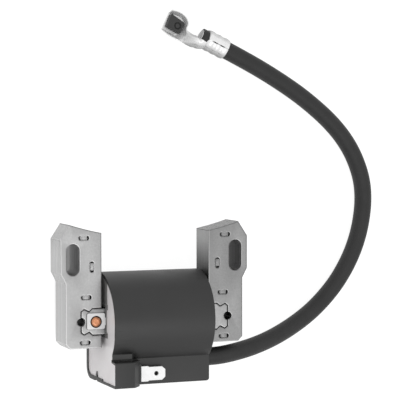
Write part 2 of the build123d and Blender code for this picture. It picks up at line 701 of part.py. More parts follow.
# ==== high-tension contact: joins the secondary winding to the lead ====
with BuildPart() as high_tension_contact:
    contact_y = LEAD_ROUTE[0][1]
    contact_z = LEAD_ROUTE[0][2]
    with BuildSketch(Plane.YZ.offset(LEAD_START_X)):
        with Locations((contact_y, contact_z)):
            Circle(2.4)
    extrude(amount=-0.8)
    with BuildSketch(Plane.YZ.offset(LEAD_START_X)):
        with Locations(((contact_y - secondary_out[0] / 2) / 2, contact_z)):
            Rectangle(-secondary_out[0] / 2 - contact_y, 1.6)
    extrude(amount=-0.8)
finish(high_tension_contact, "high_tension_contact")


# ==== high-tension lead ====
def corner_radii(route):
    """One bend radius for each inner point of a route, as large as its two runs allow."""
    radii = []
    for before, here, after in zip(route, route[1:], route[2:]):
        run_in = Vector(*here) - Vector(*before)
        run_out = Vector(*after) - Vector(*here)
        half_turn = math.radians(run_in.get_angle(run_out)) / 2
        radii.append(0.45 * min(run_in.length, run_out.length) / math.tan(half_turn))
    return radii


lead_radii = corner_radii(LEAD_ROUTE)
with BuildLine() as lead_path:
    FilletPolyline(*LEAD_ROUTE, radius=lead_radii)
lead_length = lead_path.wires()[0].length
lead_start = Plane(origin=LEAD_ROUTE[0], z_dir=Vector(*LEAD_ROUTE[1]) - Vector(*LEAD_ROUTE[0]))

lead_end = Vector(*LEAD_ROUTE[-1])
lead_last = (lead_end - Vector(*LEAD_ROUTE[-2])).normalized()
clip_dir = Vector(lead_last.X, lead_last.Y, 0).normalized()
clip_origin = lead_end - clip_dir * (CLIP_BARREL + STUB_LENGTH)
clip_plane = Plane(origin=(clip_origin.X, clip_origin.Y, 0), x_dir=clip_dir, z_dir=(0, 0, 1))
# clip coordinates: x along the lead towards the jaw, y towards the coil, z up

# tooth of the clip that pierces the lead from below and reaches the conductor
with BuildPart() as clip_tooth:
    with Locations(clip_plane * Pos(TOOTH_X, 0, CLIP_T)):
        tooth_height = CLIP_AXIS_Z - CONDUCTOR_D / 2 - CLIP_T
        Cone(TOOTH_R, TOOTH_TIP_R, tooth_height, align=(Align.CENTER, Align.CENTER, Align.MIN))

with BuildPart() as conductor_stop:
    with BuildSketch(Plane(origin=lead_end, z_dir=lead_last)):
        Circle(CONDUCTOR_D / 2)
    extrude(amount=-PLUG_LENGTH)

with BuildPart() as high_tension_lead:
    with BuildSketch(lead_start):
        Circle(LEAD_D / 2)
        Circle(CONDUCTOR_D / 2, mode=Mode.SUBTRACT)
    sweep(path=lead_path.wires()[0])
    add(conductor_stop.part)
    add(clip_tooth.part, mode=Mode.SUBTRACT)
finish(high_tension_lead, "high_tension_lead")

with BuildPart() as lead_conductor:
    with BuildSketch(lead_start):
        Circle(CONDUCTOR_D / 2)
    sweep(path=lead_path.wires()[0])
    add(conductor_stop.part, mode=Mode.SUBTRACT)
finish(lead_conductor, "lead_conductor")

# ==== plug clip: crimped on the lead's end, in the clip's own plane ====
barrel_plane = Plane(
    origin=clip_plane.from_local_coords((0, 0, CLIP_AXIS_Z)), x_dir=clip_plane.y_dir, z_dir=clip_dir
)
barrel_side = Plane(
    origin=barrel_plane.origin, x_dir=clip_dir, z_dir=-clip_plane.y_dir
)
band_pitch = CLIP_BARREL / CRIMPS
crimp_lines = [band_pitch * index for index in range(1, CRIMPS)]


def strip_outline(outer_line):
    """Outline of a sheet whose outer face, seen from its edge, is a line with the metal on its left."""
    inner = []
    for before, here, after in zip(outer_line[:1] + outer_line, outer_line, outer_line[1:] + outer_line[-1:]):
        run = Vector(after[0] - before[0], after[1] - before[1]).normalized()
        inner.append((here[0] - run.Y * CLIP_T, here[1] + run.X * CLIP_T))
    return outer_line + inner[::-1]


def leaning_wall(foot_line, top_line, height):
    """Outlines of a sheet wall at the floor and at its top, for a loft."""
    levels = []
    for z, line in ((0, foot_line), (height, top_line)):
        with BuildSketch(clip_plane.offset(z)) as level:
            with BuildLine():
                Polyline(*strip_outline(line), close=True)
            make_face()
        levels.append(level.sketch)
    return levels


with BuildPart() as spark_plug_clip:
    # crimp bands round the lead: the sheet swells between the grooves
    with BuildSketch(barrel_side):
        with BuildLine():
            outer_r = LEAD_D / 2 + CLIP_T
            for index in range(CRIMPS):
                band_x = index * band_pitch
                ThreePointArc(
                    (band_x, outer_r),
                    (band_x + band_pitch / 2, outer_r + CRIMP_BULGE),
                    (band_x + band_pitch, outer_r),
                )
            Polyline((CLIP_BARREL, outer_r), (CLIP_BARREL, LEAD_D / 2), (0, LEAD_D / 2), (0, outer_r))
        make_face()
    revolve(axis=Axis(barrel_plane.origin, clip_dir))
    # the bands are flat underneath, where they grow out of the floor
    with BuildSketch(clip_plane):
        with Locations((CLIP_BARREL / 2, 0)):
            Rectangle(2 * CLIP_BARREL, 4 * LEAD_D)
    extrude(amount=-CLIP_T, mode=Mode.SUBTRACT)
    # seam on top where the wings meet, with a small hole at each groove
    with BuildSketch(clip_plane.offset(CLIP_AXIS_Z + LEAD_D / 2 + CLIP_T - CRIMP_SEAM_DEPTH)):
        with Locations((CLIP_BARREL / 2, CRIMP_SEAM_Y)):
            Rectangle(CLIP_BARREL + 2, CRIMP_SEAM_W)
    extrude(amount=LEAD_D, mode=Mode.SUBTRACT)
    with BuildSketch(clip_plane.offset(CLIP_AXIS_Z + 1)):
        with Locations(*[(x, CRIMP_SEAM_Y) for x in crimp_lines]):
            Circle(GROOVE_HOLE_R)
    extrude(amount=LEAD_D, mode=Mode.SUBTRACT)
    # wing on the coil side: it holds the lead past the barrel and comes down to the jaw's wall
    with BuildSketch(barrel_plane.offset(CLIP_BARREL)):
        Circle(outer_r)
        Circle(LEAD_D / 2, mode=Mode.SUBTRACT)
        with Locations((WING_EDGE_Y, 1.0 - CLIP_AXIS_Z)):
            Rectangle(LEAD_D * 2, LEAD_D * 2, align=(Align.MAX, Align.MIN), mode=Mode.SUBTRACT)
    extrude(amount=WING_FADE_X - CLIP_BARREL)
    with BuildSketch(barrel_side):
        with BuildLine():
            Polyline(
                (WING_END_X, outer_r + 1),
                (WING_END_X, outer_r - 1),
                (WING_FADE_X + 1, JAW_WALL_H - CLIP_AXIS_Z - 0.8),
                (WING_FADE_X + 1, outer_r + 1),
                close=True,
            )
        make_face()
    extrude(amount=LEAD_D, both=True, mode=Mode.SUBTRACT)
    # floor, from the barrel to the jaw
    with BuildSketch(clip_plane):
        with BuildLine():
            barrel_end = CLIP_BARREL - 1
            neck = [(barrel_end, NECK_LOW_Y), (barrel_end, NECK_HIGH_Y)]
            Polyline(*neck, *COIL_SIDE_FOOT, *CURL_FOOT, (NECK_END_X, NECK_LOW_Y), close=True)
        make_face()
        with Locations((STUD_HOLE_X, STUD_HOLE_Y)):
            Circle(STUD_HOLE_R, mode=Mode.SUBTRACT)
    extrude(amount=CLIP_T)
    # walls of the jaw: one on the coil side, and one that curls round and runs back to the lead
    loft(leaning_wall(COIL_SIDE_FOOT[::-1], COIL_SIDE_TOP[::-1], JAW_WALL_H), ruled=True)
    loft(leaning_wall(CURL_FOOT[::-1], CURL_TOP[::-1], JAW_WALL_H), ruled=True)
    add(clip_tooth.part)
finish(spark_plug_clip, "spark_plug_clip")

with BuildPart() as clip_insert:
    with BuildSketch(clip_plane.offset(CLIP_T)) as insert_plan:
        with BuildLine():
            Polyline(*INSERT_OUTLINE, close=True)
        make_face()
        fillet(insert_plan.vertices(), INSERT_CORNER_R)
    extrude(amount=INSERT_H)
    # blind hole for the stud, and the ring that marks it on the other side
    with BuildSketch(clip_plane.offset(CLIP_T)):
        with Locations((STUD_HOLE_X, STUD_HOLE_Y)):
            Circle(STUD_HOLE_R)
    extrude(amount=STUD_HOLE_DEPTH, mode=Mode.SUBTRACT)
    with BuildSketch(clip_plane.offset(CLIP_T + INSERT_H)):
        with Locations((STUD_HOLE_X, STUD_HOLE_Y)):
            Circle(STUD_RING_R)
            Circle(STUD_RING_R - STUD_RING_T, mode=Mode.SUBTRACT)
    extrude(amount=-0.2, mode=Mode.SUBTRACT)
finish(clip_insert, "clip_insert")

# ==== potting: fills the case round everything in it ====
with BuildPart() as potting_compound:
    with BuildSketch(Plane.YZ.offset(POTTING_FACE_X)):
        add(cavity_section())
    extrude(amount=CASE_RIGHT - CASE_WALL - POTTING_FACE_X)
    extrude(block_space(POTTING_FACE_X), amount=block_space_h)
    # it fills the mouth up to the lip
    with BuildSketch(Plane.YZ.offset(POTTING_FACE_X)):
        add(mouth_section())
    extrude(amount=CASE_LEFT + LIP_DEPTH - POTTING_FACE_X)
    with BuildSketch(Plane.YZ.offset(CASE_LEFT)):
        with Locations((0, AXIS_Z)):
            Rectangle(tube_in[0], tube_in[1])
    extrude(amount=CASE_RIGHT - CASE_LEFT, mode=Mode.SUBTRACT)
    for buried in (
        primary_bobbin,
        primary_winding,
        insulation_sleeve,
        secondary_bobbin,
        secondary_winding,
        circuit_board,
        power_transistor,
        driver_transistor,
        resistors,
        diode,
        primary_wires,
        ground_wire,
        ground_plate,
        kill_terminal,
        high_tension_contact,
        high_tension_lead,
        lead_conductor,
    ):
        add(buried.part, mode=Mode.SUBTRACT)
finish(potting_compound, "potting_compound")

print("nodes:", len(parts_made))
print("lead length %.1f mm, bend radii" % lead_length, [round(radius) for radius in lead_radii])
section_area = math.pi * (LEAD_D**2 - CONDUCTOR_D**2) / 4
lead_volume = high_tension_lead.part.volume
print("lead volume %.1f, section times length %.1f" % (lead_volume, section_area * lead_length))
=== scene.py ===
# %% [markdown]
# # Dressing a magneto ignition coil
# An ignition coil of a small engine is a short stack of jobs: a laminated steel core leads the
# flywheel's magnetism through two windings, a moulded case holds the windings in cast resin, and a
# rubber lead with a stamped clip takes the spark to the plug. The CAD model already has every piece
# at its real size. This lesson gives each of them the surface that the real one has: cut steel
# sheets, satin plastic, cast resin, tinned plate, copper and rubber.
#
# The CAD model is loaded first and never moves. Blender works in metres and part drawings are in
# millimetres, so one factor, MM, stands between the two.

# %% Load the fixed frame
import math
import random

import bmesh
import bpy
from mathutils import Matrix, Vector
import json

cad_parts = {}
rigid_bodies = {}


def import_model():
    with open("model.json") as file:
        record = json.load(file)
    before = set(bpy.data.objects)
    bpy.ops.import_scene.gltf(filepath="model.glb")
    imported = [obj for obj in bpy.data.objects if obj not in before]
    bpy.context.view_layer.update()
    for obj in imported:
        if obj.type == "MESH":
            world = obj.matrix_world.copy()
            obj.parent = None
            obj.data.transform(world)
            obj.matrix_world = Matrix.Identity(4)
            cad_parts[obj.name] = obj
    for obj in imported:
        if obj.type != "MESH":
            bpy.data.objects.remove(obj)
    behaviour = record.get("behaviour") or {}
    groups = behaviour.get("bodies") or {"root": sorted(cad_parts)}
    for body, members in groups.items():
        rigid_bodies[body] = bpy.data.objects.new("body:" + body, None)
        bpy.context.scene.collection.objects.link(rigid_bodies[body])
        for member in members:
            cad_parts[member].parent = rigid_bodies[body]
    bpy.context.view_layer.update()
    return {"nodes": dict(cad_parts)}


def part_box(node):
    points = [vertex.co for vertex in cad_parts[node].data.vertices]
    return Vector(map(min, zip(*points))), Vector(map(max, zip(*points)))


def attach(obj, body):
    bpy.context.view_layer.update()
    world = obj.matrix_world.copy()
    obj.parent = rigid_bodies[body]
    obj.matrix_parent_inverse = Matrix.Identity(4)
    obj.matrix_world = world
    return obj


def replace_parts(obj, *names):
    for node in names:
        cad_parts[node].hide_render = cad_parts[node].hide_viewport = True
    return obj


for leftover in list(bpy.data.objects):
    bpy.data.objects.remove(leftover)

MM = 0.001
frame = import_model()
scene = bpy.context.scene

# %% [markdown]
# ## The camera
# A product picture of a flat object is taken from almost straight above it, with a long lens so
# that parallel edges stay parallel. The camera stands 70 cm away, turned 22 degrees towards the
# potted end of the coil and 3 degrees towards the flywheel side. Its axes are built as vectors: one
# from the object to the camera, one to the right and one up, which are the columns of its matrix.

# %% Camera
VIEW_TARGET = Vector((21.25, 45.9, 16.5)) * MM
VIEW_DISTANCE = 0.699
VIEW_YAW = math.radians(21.79)
VIEW_PITCH = math.radians(2.88)
LENS_ANGLE = math.radians(13.0)


def camera_above(target, distance, yaw, pitch, angle):
    """A camera that looks down at the target, with +Y upwards in its picture."""
    level = math.cos(pitch)
    back = Vector((-math.sin(yaw) * level, math.sin(pitch), math.cos(yaw) * level))
    right = Vector((0, 1, 0)).cross(back).normalized()
    up = back.cross(right)
    camera = bpy.data.objects.new("camera", bpy.data.cameras.new("camera"))
    camera.data.angle = angle
    turn = Matrix((right, up, back)).transposed().to_4x4()
    camera.matrix_world = Matrix.Translation(target + back * distance) @ turn
    scene.collection.objects.link(camera)
    scene.camera = camera
    return camera


camera = camera_above(VIEW_TARGET, VIEW_DISTANCE, VIEW_YAW, VIEW_PITCH, LENS_ANGLE)
scene.view_settings.view_transform = "Standard"
print("camera at", [round(value, 3) for value in camera.location])

# %% [markdown]
# ## The high-tension lead
# The lead is a stiff rubber cord, 7.2 mm thick. It leaves the case at its right end, comes down to
# the surface and lies there in one open bend. A cord's line could be a Bezier curve with handles,
# but a NURBS spline of order 3 needs only its control points, touches every run in its middle and
# never kinks. The order and the end points are set after the points are added, since the spline
# clips them to the number of points that it has at that moment.
#
# The copper conductor follows the same points inside the rubber, so it can't show through a bend.
# It stops 3 mm short of the rubber's end.

# %% Lead and conductor
LEAD_D = 7.2
CONDUCTOR_D = 1.8
CONDUCTOR_END = (29.18, 109.98, 4.2)
LEAD_ROUTE = [
    (8.0, -16.9, 17.0),
    (22.0, -16.9, 17.0),
    (32.3, -16.6, 16.6),
    (49.4, -13.8, 12.2),
    (65.8, -8.3, 6.4),
    (79.7, 0.1, 3.6),
    (90.9, 12.7, 3.6),
    (98.7, 28.8, 3.6),
    (101.2, 47.5, 3.6),
    (96.6, 62.3, 3.6),
    (87.8, 74.5, 3.6),
    (73.6, 86.2, 3.6),
    (58.4, 95.6, 3.6),
    (43.57, 103.19, 4.2),
    (26.47, 111.26, 4.2),
]


def cord_curve(name, route, diameter):
    """A round cord along one open NURBS spline, with the route's points as control points."""
    curve = bpy.data.curves.new(name, "CURVE")
    curve.dimensions = "3D"
    spline = curve.splines.new("NURBS")
    spline.points.add(len(route) - 1)
    for point, place in zip(spline.points, route):
        point.co = (*(Vector(place) * MM), 1)
        point.radius = diameter * MM / 2
    spline.order_u = 3
    spline.use_endpoint_u = True
    spline.resolution_u = 20
    curve.bevel_depth = 1.0
    curve.bevel_resolution = 12
    curve.use_fill_caps = True
    cord = bpy.data.objects.new(name, curve)
    scene.collection.objects.link(cord)
    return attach(cord, "root")


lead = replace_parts(cord_curve("lead_rubber_cord", LEAD_ROUTE, LEAD_D), "high_tension_lead")
conductor_route = LEAD_ROUTE[:-1] + [CONDUCTOR_END]
conductor = cord_curve("lead_conductor_core", conductor_route, CONDUCTOR_D)
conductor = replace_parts(conductor, "lead_conductor")
print("lead and conductor laid along", len(LEAD_ROUTE), "control points")

# %% [markdown]
# ## Writing node trees as steps
# A material is a graph of nodes. Each helper call below adds one node and links what feeds it, so
# that a material reads from top to bottom like a recipe. All textures use object coordinates, which
# are metres here, so a scale of 1000 gives features of about a millimetre.

# %% Node helpers
NODE_SPACING = (190, 260)
NODES_PER_ROW = 9
NOISE_REACH = (0.3, 0.7)  # most of a noise texture's values lie between these
MIX_SHARE, MIX_FIRST, MIX_SECOND, MIX_RESULT = 0, 6, 7, 2  # a Mix node's sockets for colours


class Graph:
    """One node tree, filled step by step."""

    def __init__(self, tree):
        self.tree = tree
        self.count = 0

    def add(self, kind, feeds=None, **settings):
        """A new node. A feed is a socket to link or a value to set; a setting is a property."""
        node = self.tree.nodes.new(kind if kind.startswith("Node") else "ShaderNode" + kind)
        row, column = divmod(self.count, NODES_PER_ROW)
        node.location = (NODE_SPACING[0] * column, -NODE_SPACING[1] * row)
        self.count += 1
        for setting, value in settings.items():
            setattr(node, setting, value)
        for socket, value in (feeds or {}).items():
            if isinstance(value, bpy.types.NodeSocket):
                self.tree.links.new(value, node.inputs[socket])
            else:
                node.inputs[socket].default_value = value
        return node

    def math(self, operation, first, second=0.0):
        return self.add("Math", {0: first, 1: second}, operation=operation).outputs[0]

    def vector_math(self, operation, first, second):
        return self.add("VectorMath", {0: first, 1: second}, operation=operation).outputs

    def spread(self, value, low, high, to_low=0.0, to_high=1.0):
        """The value's place between low and high, as a number between to_low and to_high."""
        feeds = {"Value": value, "From Min": low, "From Max": high}
        feeds.update({"To Min": to_low, "To Max": to_high})
        return self.add("MapRange", feeds, clamp=True).outputs[0]

    def varied(self, noise, low, high):
        """A number that wanders from low to high with a noise."""
        return self.spread(noise, *NOISE_REACH, low, high)

    def mix(self, share, first, second):
        feeds = {MIX_SHARE: share, MIX_FIRST: first, MIX_SECOND: second}
        return self.add("Mix", feeds, data_type="RGBA").outputs[MIX_RESULT]

    def towards(self, colour, other, mask, strength):
        """The colour, turned to the other one by a mask times a strength."""
        return self.mix(self.math("MULTIPLY", mask, strength), colour, other)

    def noise(self, place, scale, detail=3.0, roughness=0.55):
        feeds = {"Vector": place, "Scale": scale, "Detail": detail, "Roughness": roughness}
        return self.add("TexNoise", feeds).outputs[0]

    def stretched(self, place, x, y, z):
        return self.add("Mapping", {"Vector": place, "Scale": (x, y, z)}).outputs[0]

    def axes(self, vector):
        return self.add("SeparateXYZ", {0: vector}).outputs

    def place(self):
        return self.add("TexCoord").outputs["Object"]

    def facing(self):
        """The direction that the surface faces."""
        return self.add("NewGeometry").outputs["Normal"]

    def flatness(self):
        """1 where the surface faces straight up or down, 0 on an upright side."""
        return self.math("ABSOLUTE", self.axes(self.facing())["Z"])

    def group(self, group, **values):
        feeds = {name.replace("_", " "): value for name, value in values.items()}
        return self.add("Group", feeds, node_tree=group).outputs


def new_group(name, inputs, outputs):
    """An empty node group with number inputs and their defaults, and number outputs."""
    group = bpy.data.node_groups.new(name, "ShaderNodeTree")
    for label, value in inputs.items():
        socket = group.interface.new_socket(label, in_out="INPUT", socket_type="NodeSocketFloat")
        socket.default_value = value
    for label in outputs:
        group.interface.new_socket(label, in_out="OUTPUT", socket_type="NodeSocketFloat")
    graph = Graph(group)
    return group, graph, graph.add("NodeGroupInput").outputs


print("node helpers ready")

# %% [markdown]
# ## Effects that several finishes share
# Three effects come back on almost every piece, so each is a node group, built once. "Grain" is the
# fine unevenness of a moulded or rolled surface. The edge group finds the edges: the Bevel node gives
# the direction that the surface would have if its edges were rounded, and where that differs from
# the real direction, there is an edge. Its Mask breaks up along the edge, as rubbing does. Its two
# other outputs are painted light: an edge that the rounding turns towards -X or -Y gets a painted
# highlight, and one that it turns towards +X or +Y gets painted shade.
#
# The third group finds the corners, where it sets up painted shade: the Ambient Occlusion node says
# how much of the space round a point is open. A short reach finds cracks and a long one finds whole
# nooks. A group puts out plain numbers, and each material decides what they do.


# %% Shared effects
def build_grain():
    inputs = {"Scale": 2500.0, "Patch Scale": 120.0}
    group, graph, given = new_group("grain", inputs, ["Fine", "Patches"])
    place = graph.place()
    fine = graph.noise(place, given["Scale"], 4.0, 0.6)
    patches = graph.spread(graph.noise(place, given["Patch Scale"], 3.0, 0.5), 0.35, 0.65)
    graph.add("NodeGroupOutput", {"Fine": fine, "Patches": patches})
    return group


def build_edge_wear_and_light():
    inputs = {"Radius": 0.3 * MM, "Breakup": 900.0}
    group, graph, given = new_group("edge_wear_and_painted_light", inputs, ["Mask", "Lit", "Painted_Shade"])
    rounding = graph.add("Bevel", {"Radius": given["Radius"]}, samples=6).outputs[0]
    real = graph.facing()
    same = graph.vector_math("DOT_PRODUCT", rounding, real)["Value"]
    edge = graph.spread(same, 0.995, 0.93)
    patchy = graph.spread(graph.noise(graph.place(), given["Breakup"], 4.0), 0.38, 0.6)
    turned = graph.axes(graph.vector_math("SUBTRACT", rounding, real)["Vector"])
    away = graph.math("ADD", turned["X"], turned["Y"])
    masks = {"Mask": graph.math("MULTIPLY", edge, patchy)}
    # Painted light: a painted highlight where the rounding turns to -X or -Y, painted shade where it
    # turns to +X or +Y.
    masks["Lit"] = graph.spread(away, -0.05, -0.3)
    masks["Painted_Shade"] = graph.spread(away, 0.02, 0.14)
    graph.add("NodeGroupOutput", masks)
    return group


# A mask for painted shade: 1 where little of the space round a point is open.
def build_corner_shade():
    inputs = {"Reach": 1.2 * MM, "Open": 0.75, "Closed": 0.25}
    group, graph, given = new_group("corner_shade", inputs, ["Mask"])
    occlusion = graph.add("AmbientOcclusion", {"Distance": given["Reach"]}, samples=8)
    mask = graph.spread(occlusion.outputs["AO"], given["Open"], given["Closed"])
    graph.add("NodeGroupOutput", {"Mask": mask})
    return group


GRAIN = build_grain()
EDGE_WEAR_AND_LIGHT = build_edge_wear_and_light()
CORNER_SHADE = build_corner_shade()
print("shared effects:", [group.name for group in bpy.data.node_groups])

# %% [markdown]
# ## Finishes
# Every finish ends in one Principled shader. The helper below takes what changes over the surface
# as links, and sets what stays the same as plain numbers on the shader's own sockets. The height of
# a surface goes through a Bump node, whose distance is the real depth of the unevenness. A piece
# whose edges are sharp in its mesh can have them rounded here: a Bevel node feeds the Bump node the
# direction of a rounded edge, so the edge catches the light and no vertex is added.


# %% Finish helpers
def new_finish(name):
    material = bpy.data.materials.new(name)
    material.use_nodes = True
    material.node_tree.nodes.clear()
    return material, Graph(material.node_tree)


def principled(graph, colour, roughness, metallic, height, depth, edge=None):
    """The last steps of a finish. The depth of the relief and the edge radius are in mm."""
    relief = {"Height": height, "Strength": 1.0, "Distance": depth * MM}
    if edge is not None:
        relief["Normal"] = graph.add("Bevel", {"Radius": edge * MM}, samples=8).outputs[0]
    feeds = {"Base Color": colour, "Roughness": roughness, "Metallic": metallic}
    feeds["Normal"] = graph.add("Bump", relief).outputs[0]
    shader = graph.add("BsdfPrincipled", feeds)
    graph.add("OutputMaterial", {"Surface": shader.outputs[0]})


def grey(level):
    return (level, level, level, 1.0)


print("finish helpers ready")

# %% [markdown]
# ## Laminated steel
# The core is a stack of half-millimetre steel sheets, so its flat faces and its cut sides look
# different. A flat face is rolled sheet: even grey with a fine speckle and a few dull patches. A
# cut side shows one line for every sheet, and each sheet has its own tone. The height above the
# bottom of the stack, divided by the sheet's thickness, gives the number of the sheet, and what
# is left over gives the place within it.

# %% Faces and sides of the stack
SHEET_T = 0.5
stack_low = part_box("left_leg")[0].z
stack_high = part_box("left_leg")[1].z
SHEETS = round((stack_high - stack_low) / (SHEET_T * MM))


def rolled_face(graph, speckle, patches, level):
    """The colour of a flat face."""
    face = graph.mix(speckle, grey(level * 0.90), grey(level * 1.08))
    return graph.towards(face, grey(level * 0.9), patches, 0.35)


def cut_side(graph, place, height, level):
    """The colour of a cut side, with a tone for each sheet and a dark line between two sheets."""
    sheets = graph.math("DIVIDE", graph.math("SUBTRACT", height, stack_low), SHEET_T * MM)
    number = graph.math("FLOOR", sheets)
    own_tone = graph.add("TexWhiteNoise", {"W": number}, noise_dimensions="1D").outputs[0]
    from_middle = graph.math("ABSOLUTE", graph.math("SUBTRACT", graph.math("FRACT", sheets), 0.5))
    seam = graph.spread(from_middle, 0.36, 0.48)
    cut_marks = graph.noise(graph.stretched(place, 1, 1, 0.12), 5200.0, 2.0)
    cut = graph.mix(own_tone, grey(level * 0.86), grey(level * 1.12))
    cut = graph.towards(cut, grey(level * 0.8), cut_marks, 0.5)
    return graph.towards(cut, grey(level * 0.35), seam, 0.55)


print("a stack has", SHEETS, "sheets")

# %% [markdown]
# The whole finish puts the two together and paints what the light does in the corners. Three corner
# masks with three reaches give painted shade: the joint lines and the punched holes are painted
# nearly black, and the wide nooks, such as the slots and the space beside the case, a dim grey. The
# legs have their own levels, which is painted light: the left leg's steel is painted brighter than
# the right's, standing in for the light that the left face mirrors. The right leg's inner side has a
# painted shadow that grows darker towards the case, which stands in its light.

# %% Laminated steel
CLOSED_SHADE_LEVEL = 0.006
NOOK_SHADE_LEVEL = 0.15
CASE_SHADOW_LEVEL = 0.04
CASE_SHADOW_SPAN = {"X": (23.5, 22.8), "Y": (30.5, 19.0)}  # where the dark side starts, and where it is full


def case_shadow_mask(graph, axes):
    """1 where the painted shadow of the case falls on the leg's inner side."""
    shares = [
        graph.spread(axes[axis], start * MM, full * MM) for axis, (start, full) in CASE_SHADOW_SPAN.items()
    ]
    return graph.math("MULTIPLY", *shares)


def laminated_steel(name, face_level, side_level, with_case_shadow=False):
    material, graph = new_finish(name)
    place = graph.place()
    axes = graph.axes(place)
    effects = graph.group(GRAIN, Scale=2600.0, Patch_Scale=150.0)
    wear_and_edge_light = graph.group(EDGE_WEAR_AND_LIGHT, Radius=0.6 * MM)
    crack = graph.group(CORNER_SHADE, Reach=1.8 * MM, Open=0.66, Closed=0.42)["Mask"]
    hole = graph.group(CORNER_SHADE, Reach=3.6 * MM, Open=0.42, Closed=0.26)["Mask"]
    nook = graph.group(CORNER_SHADE, Reach=18 * MM, Open=0.74, Closed=0.44)["Mask"]
    speckle = graph.spread(graph.noise(place, 1500.0, 4.0, 0.75), 0.32, 0.68)
    side = graph.spread(graph.flatness(), 0.75, 0.35)
    face = rolled_face(graph, speckle, effects["Patches"], face_level)
    colour = graph.mix(side, face, cut_side(graph, place, axes["Z"], side_level))
    # Painted highlight on edges turned to -X or -Y, painted shade on edges turned to +X or +Y.
    colour = graph.mix(wear_and_edge_light["Lit"], colour, grey(face_level * 1.9))
    colour = graph.mix(wear_and_edge_light["Painted_Shade"], colour, grey(face_level * 0.25))
    # Painted shade in the wide nooks.
    colour = graph.towards(colour, grey(NOOK_SHADE_LEVEL), nook, side)
    # Painted shadow of the case on the right leg's inner side.
    if with_case_shadow:
        colour = graph.towards(colour, grey(CASE_SHADOW_LEVEL), case_shadow_mask(graph, axes), side)
    # Painted shade: cracks and holes painted nearly black.
    closed = graph.math("MAXIMUM", hole, graph.math("MULTIPLY", crack, 0.96))
    colour = graph.mix(closed, colour, grey(CLOSED_SHADE_LEVEL))
    relief = graph.math("ADD", graph.math("MULTIPLY", speckle, 0.25), effects["Fine"])
    roughness = graph.varied(effects["Fine"], 0.42, 0.58)
    principled(graph, colour, roughness, 1.0, relief, 0.012)
    return material


# Painted light: the left leg's steel is painted brighter than the right leg's, for the light that its
# face mirrors.
LEFT_STEEL = laminated_steel("left_leg_steel", 0.44, 0.55)
RIGHT_STEEL = laminated_steel("right_leg_steel", 0.30, 0.37, with_case_shadow=True)
BAR_STEEL = laminated_steel("bar_steel", 0.42, 0.42)
print("laminated steel for both legs and the bar")

# %% [markdown]
# ## Black plastics and rubber
# Black is never quite black: the case is a satin black that shows about six hundredths of the
# light, partly as a soft sheen. The body colour is kept low and the sheen comes from roughness. The
# case has a very fine grain, slightly smoother and duller patches where the melt flowed, and paler
# corners where it has rubbed. The rubber of the lead and of the clip's block is more matte, with a
# little pale dust.


# %% Black plastics and rubber
def moulded_black(name, tint, level, smooth, rough, depth):
    material, graph = new_finish(name)
    effects = graph.group(GRAIN, Scale=2400.0, Patch_Scale=70.0)
    wear_and_edge_light = graph.group(EDGE_WEAR_AND_LIGHT, Radius=0.35 * MM)["Mask"]
    body = tuple(level * share for share in tint) + (1.0,)
    paler = tuple(min(1.0, level * share * 1.5) for share in tint) + (1.0,)
    colour = graph.mix(graph.math("MULTIPLY", effects["Patches"], 0.5), body, paler)
    colour = graph.towards(colour, grey(level * 4), wear_and_edge_light, 0.45)
    roughness = graph.spread(effects["Patches"], 0.0, 1.0, smooth, rough)
    principled(graph, colour, roughness, 0.0, effects["Fine"], depth, edge=0.3)
    return material


def cord_rubber(name, level):
    material, graph = new_finish(name)
    effects = graph.group(GRAIN, Scale=3200.0, Patch_Scale=160.0)
    dust = graph.spread(graph.noise(graph.place(), 900.0, 5.0, 0.7), 0.55, 0.75)
    colour = graph.mix(effects["Patches"], grey(level), grey(level * 1.35))
    colour = graph.towards(colour, grey(level * 2.6), dust, 0.25)
    roughness = graph.varied(effects["Fine"], 0.5, 0.66)
    principled(graph, colour, roughness, 0.0, effects["Fine"], 0.03)
    return material


CASE_PLASTIC = moulded_black("case_satin_plastic", (1.0, 1.0, 1.0), 0.016, 0.42, 0.52, 0.018)
BOBBIN_NYLON = moulded_black("bobbin_nylon", (1.0, 0.98, 0.96), 0.12, 0.38, 0.5, 0.02)
COMPONENT_BLACK = moulded_black("component_epoxy", (1.0, 1.0, 1.0), 0.02, 0.35, 0.45, 0.02)
LEAD_RUBBER = cord_rubber("lead_rubber", 0.009)
CLIP_RUBBER = cord_rubber("clip_rubber", 0.021)
print("black finishes ready")

# %% [markdown]
# ## The clip's own frame
# The plug clip is crimped on the last straight run of the lead, so its frame comes from the last
# two points of the lead's route: x runs along the clip towards its jaw, and starts at the end of
# the barrel where the lead goes in. The finish of the tin needs this frame before the clip is
# built, because the tin changes along the clip.

# %% The clip's own frame
CLIP_BARREL = 9.4
CLIP_STUB = 2.5
clip_along = (Vector(LEAD_ROUTE[-1]) - Vector(LEAD_ROUTE[-2])).normalized()
clip_mouth = Vector((*LEAD_ROUTE[-1][:2], 0)) - clip_along * (CLIP_BARREL + CLIP_STUB)
print("the clip's mouth in mm:", [round(value, 1) for value in clip_mouth])

# %% [markdown]
# ## Resin, tinned plate and copper
# The potting resin is poured in and sets with a smooth skin, pale grey with a breath of pink and
# faint clouds in it, and painted shade in its corners. The copper rivet is bright where the punch
# hit it and painted dark brown in the corner round its head, which is painted shade and what the
# corner mask is for.
#
# Tinned plate is bright and nearly white, with the fine brushed scatter of rolled sheet. A full
# metal would mirror the white room around it and lose its form. So the tin has little or no
# Metallic, and where it turns away from the light its colour is painted darker, as painted shade;
# its corners get painted shade too. On the clip that painted darkening ends where the jaw starts,
# because both sides of the jaw's walls face open ground.


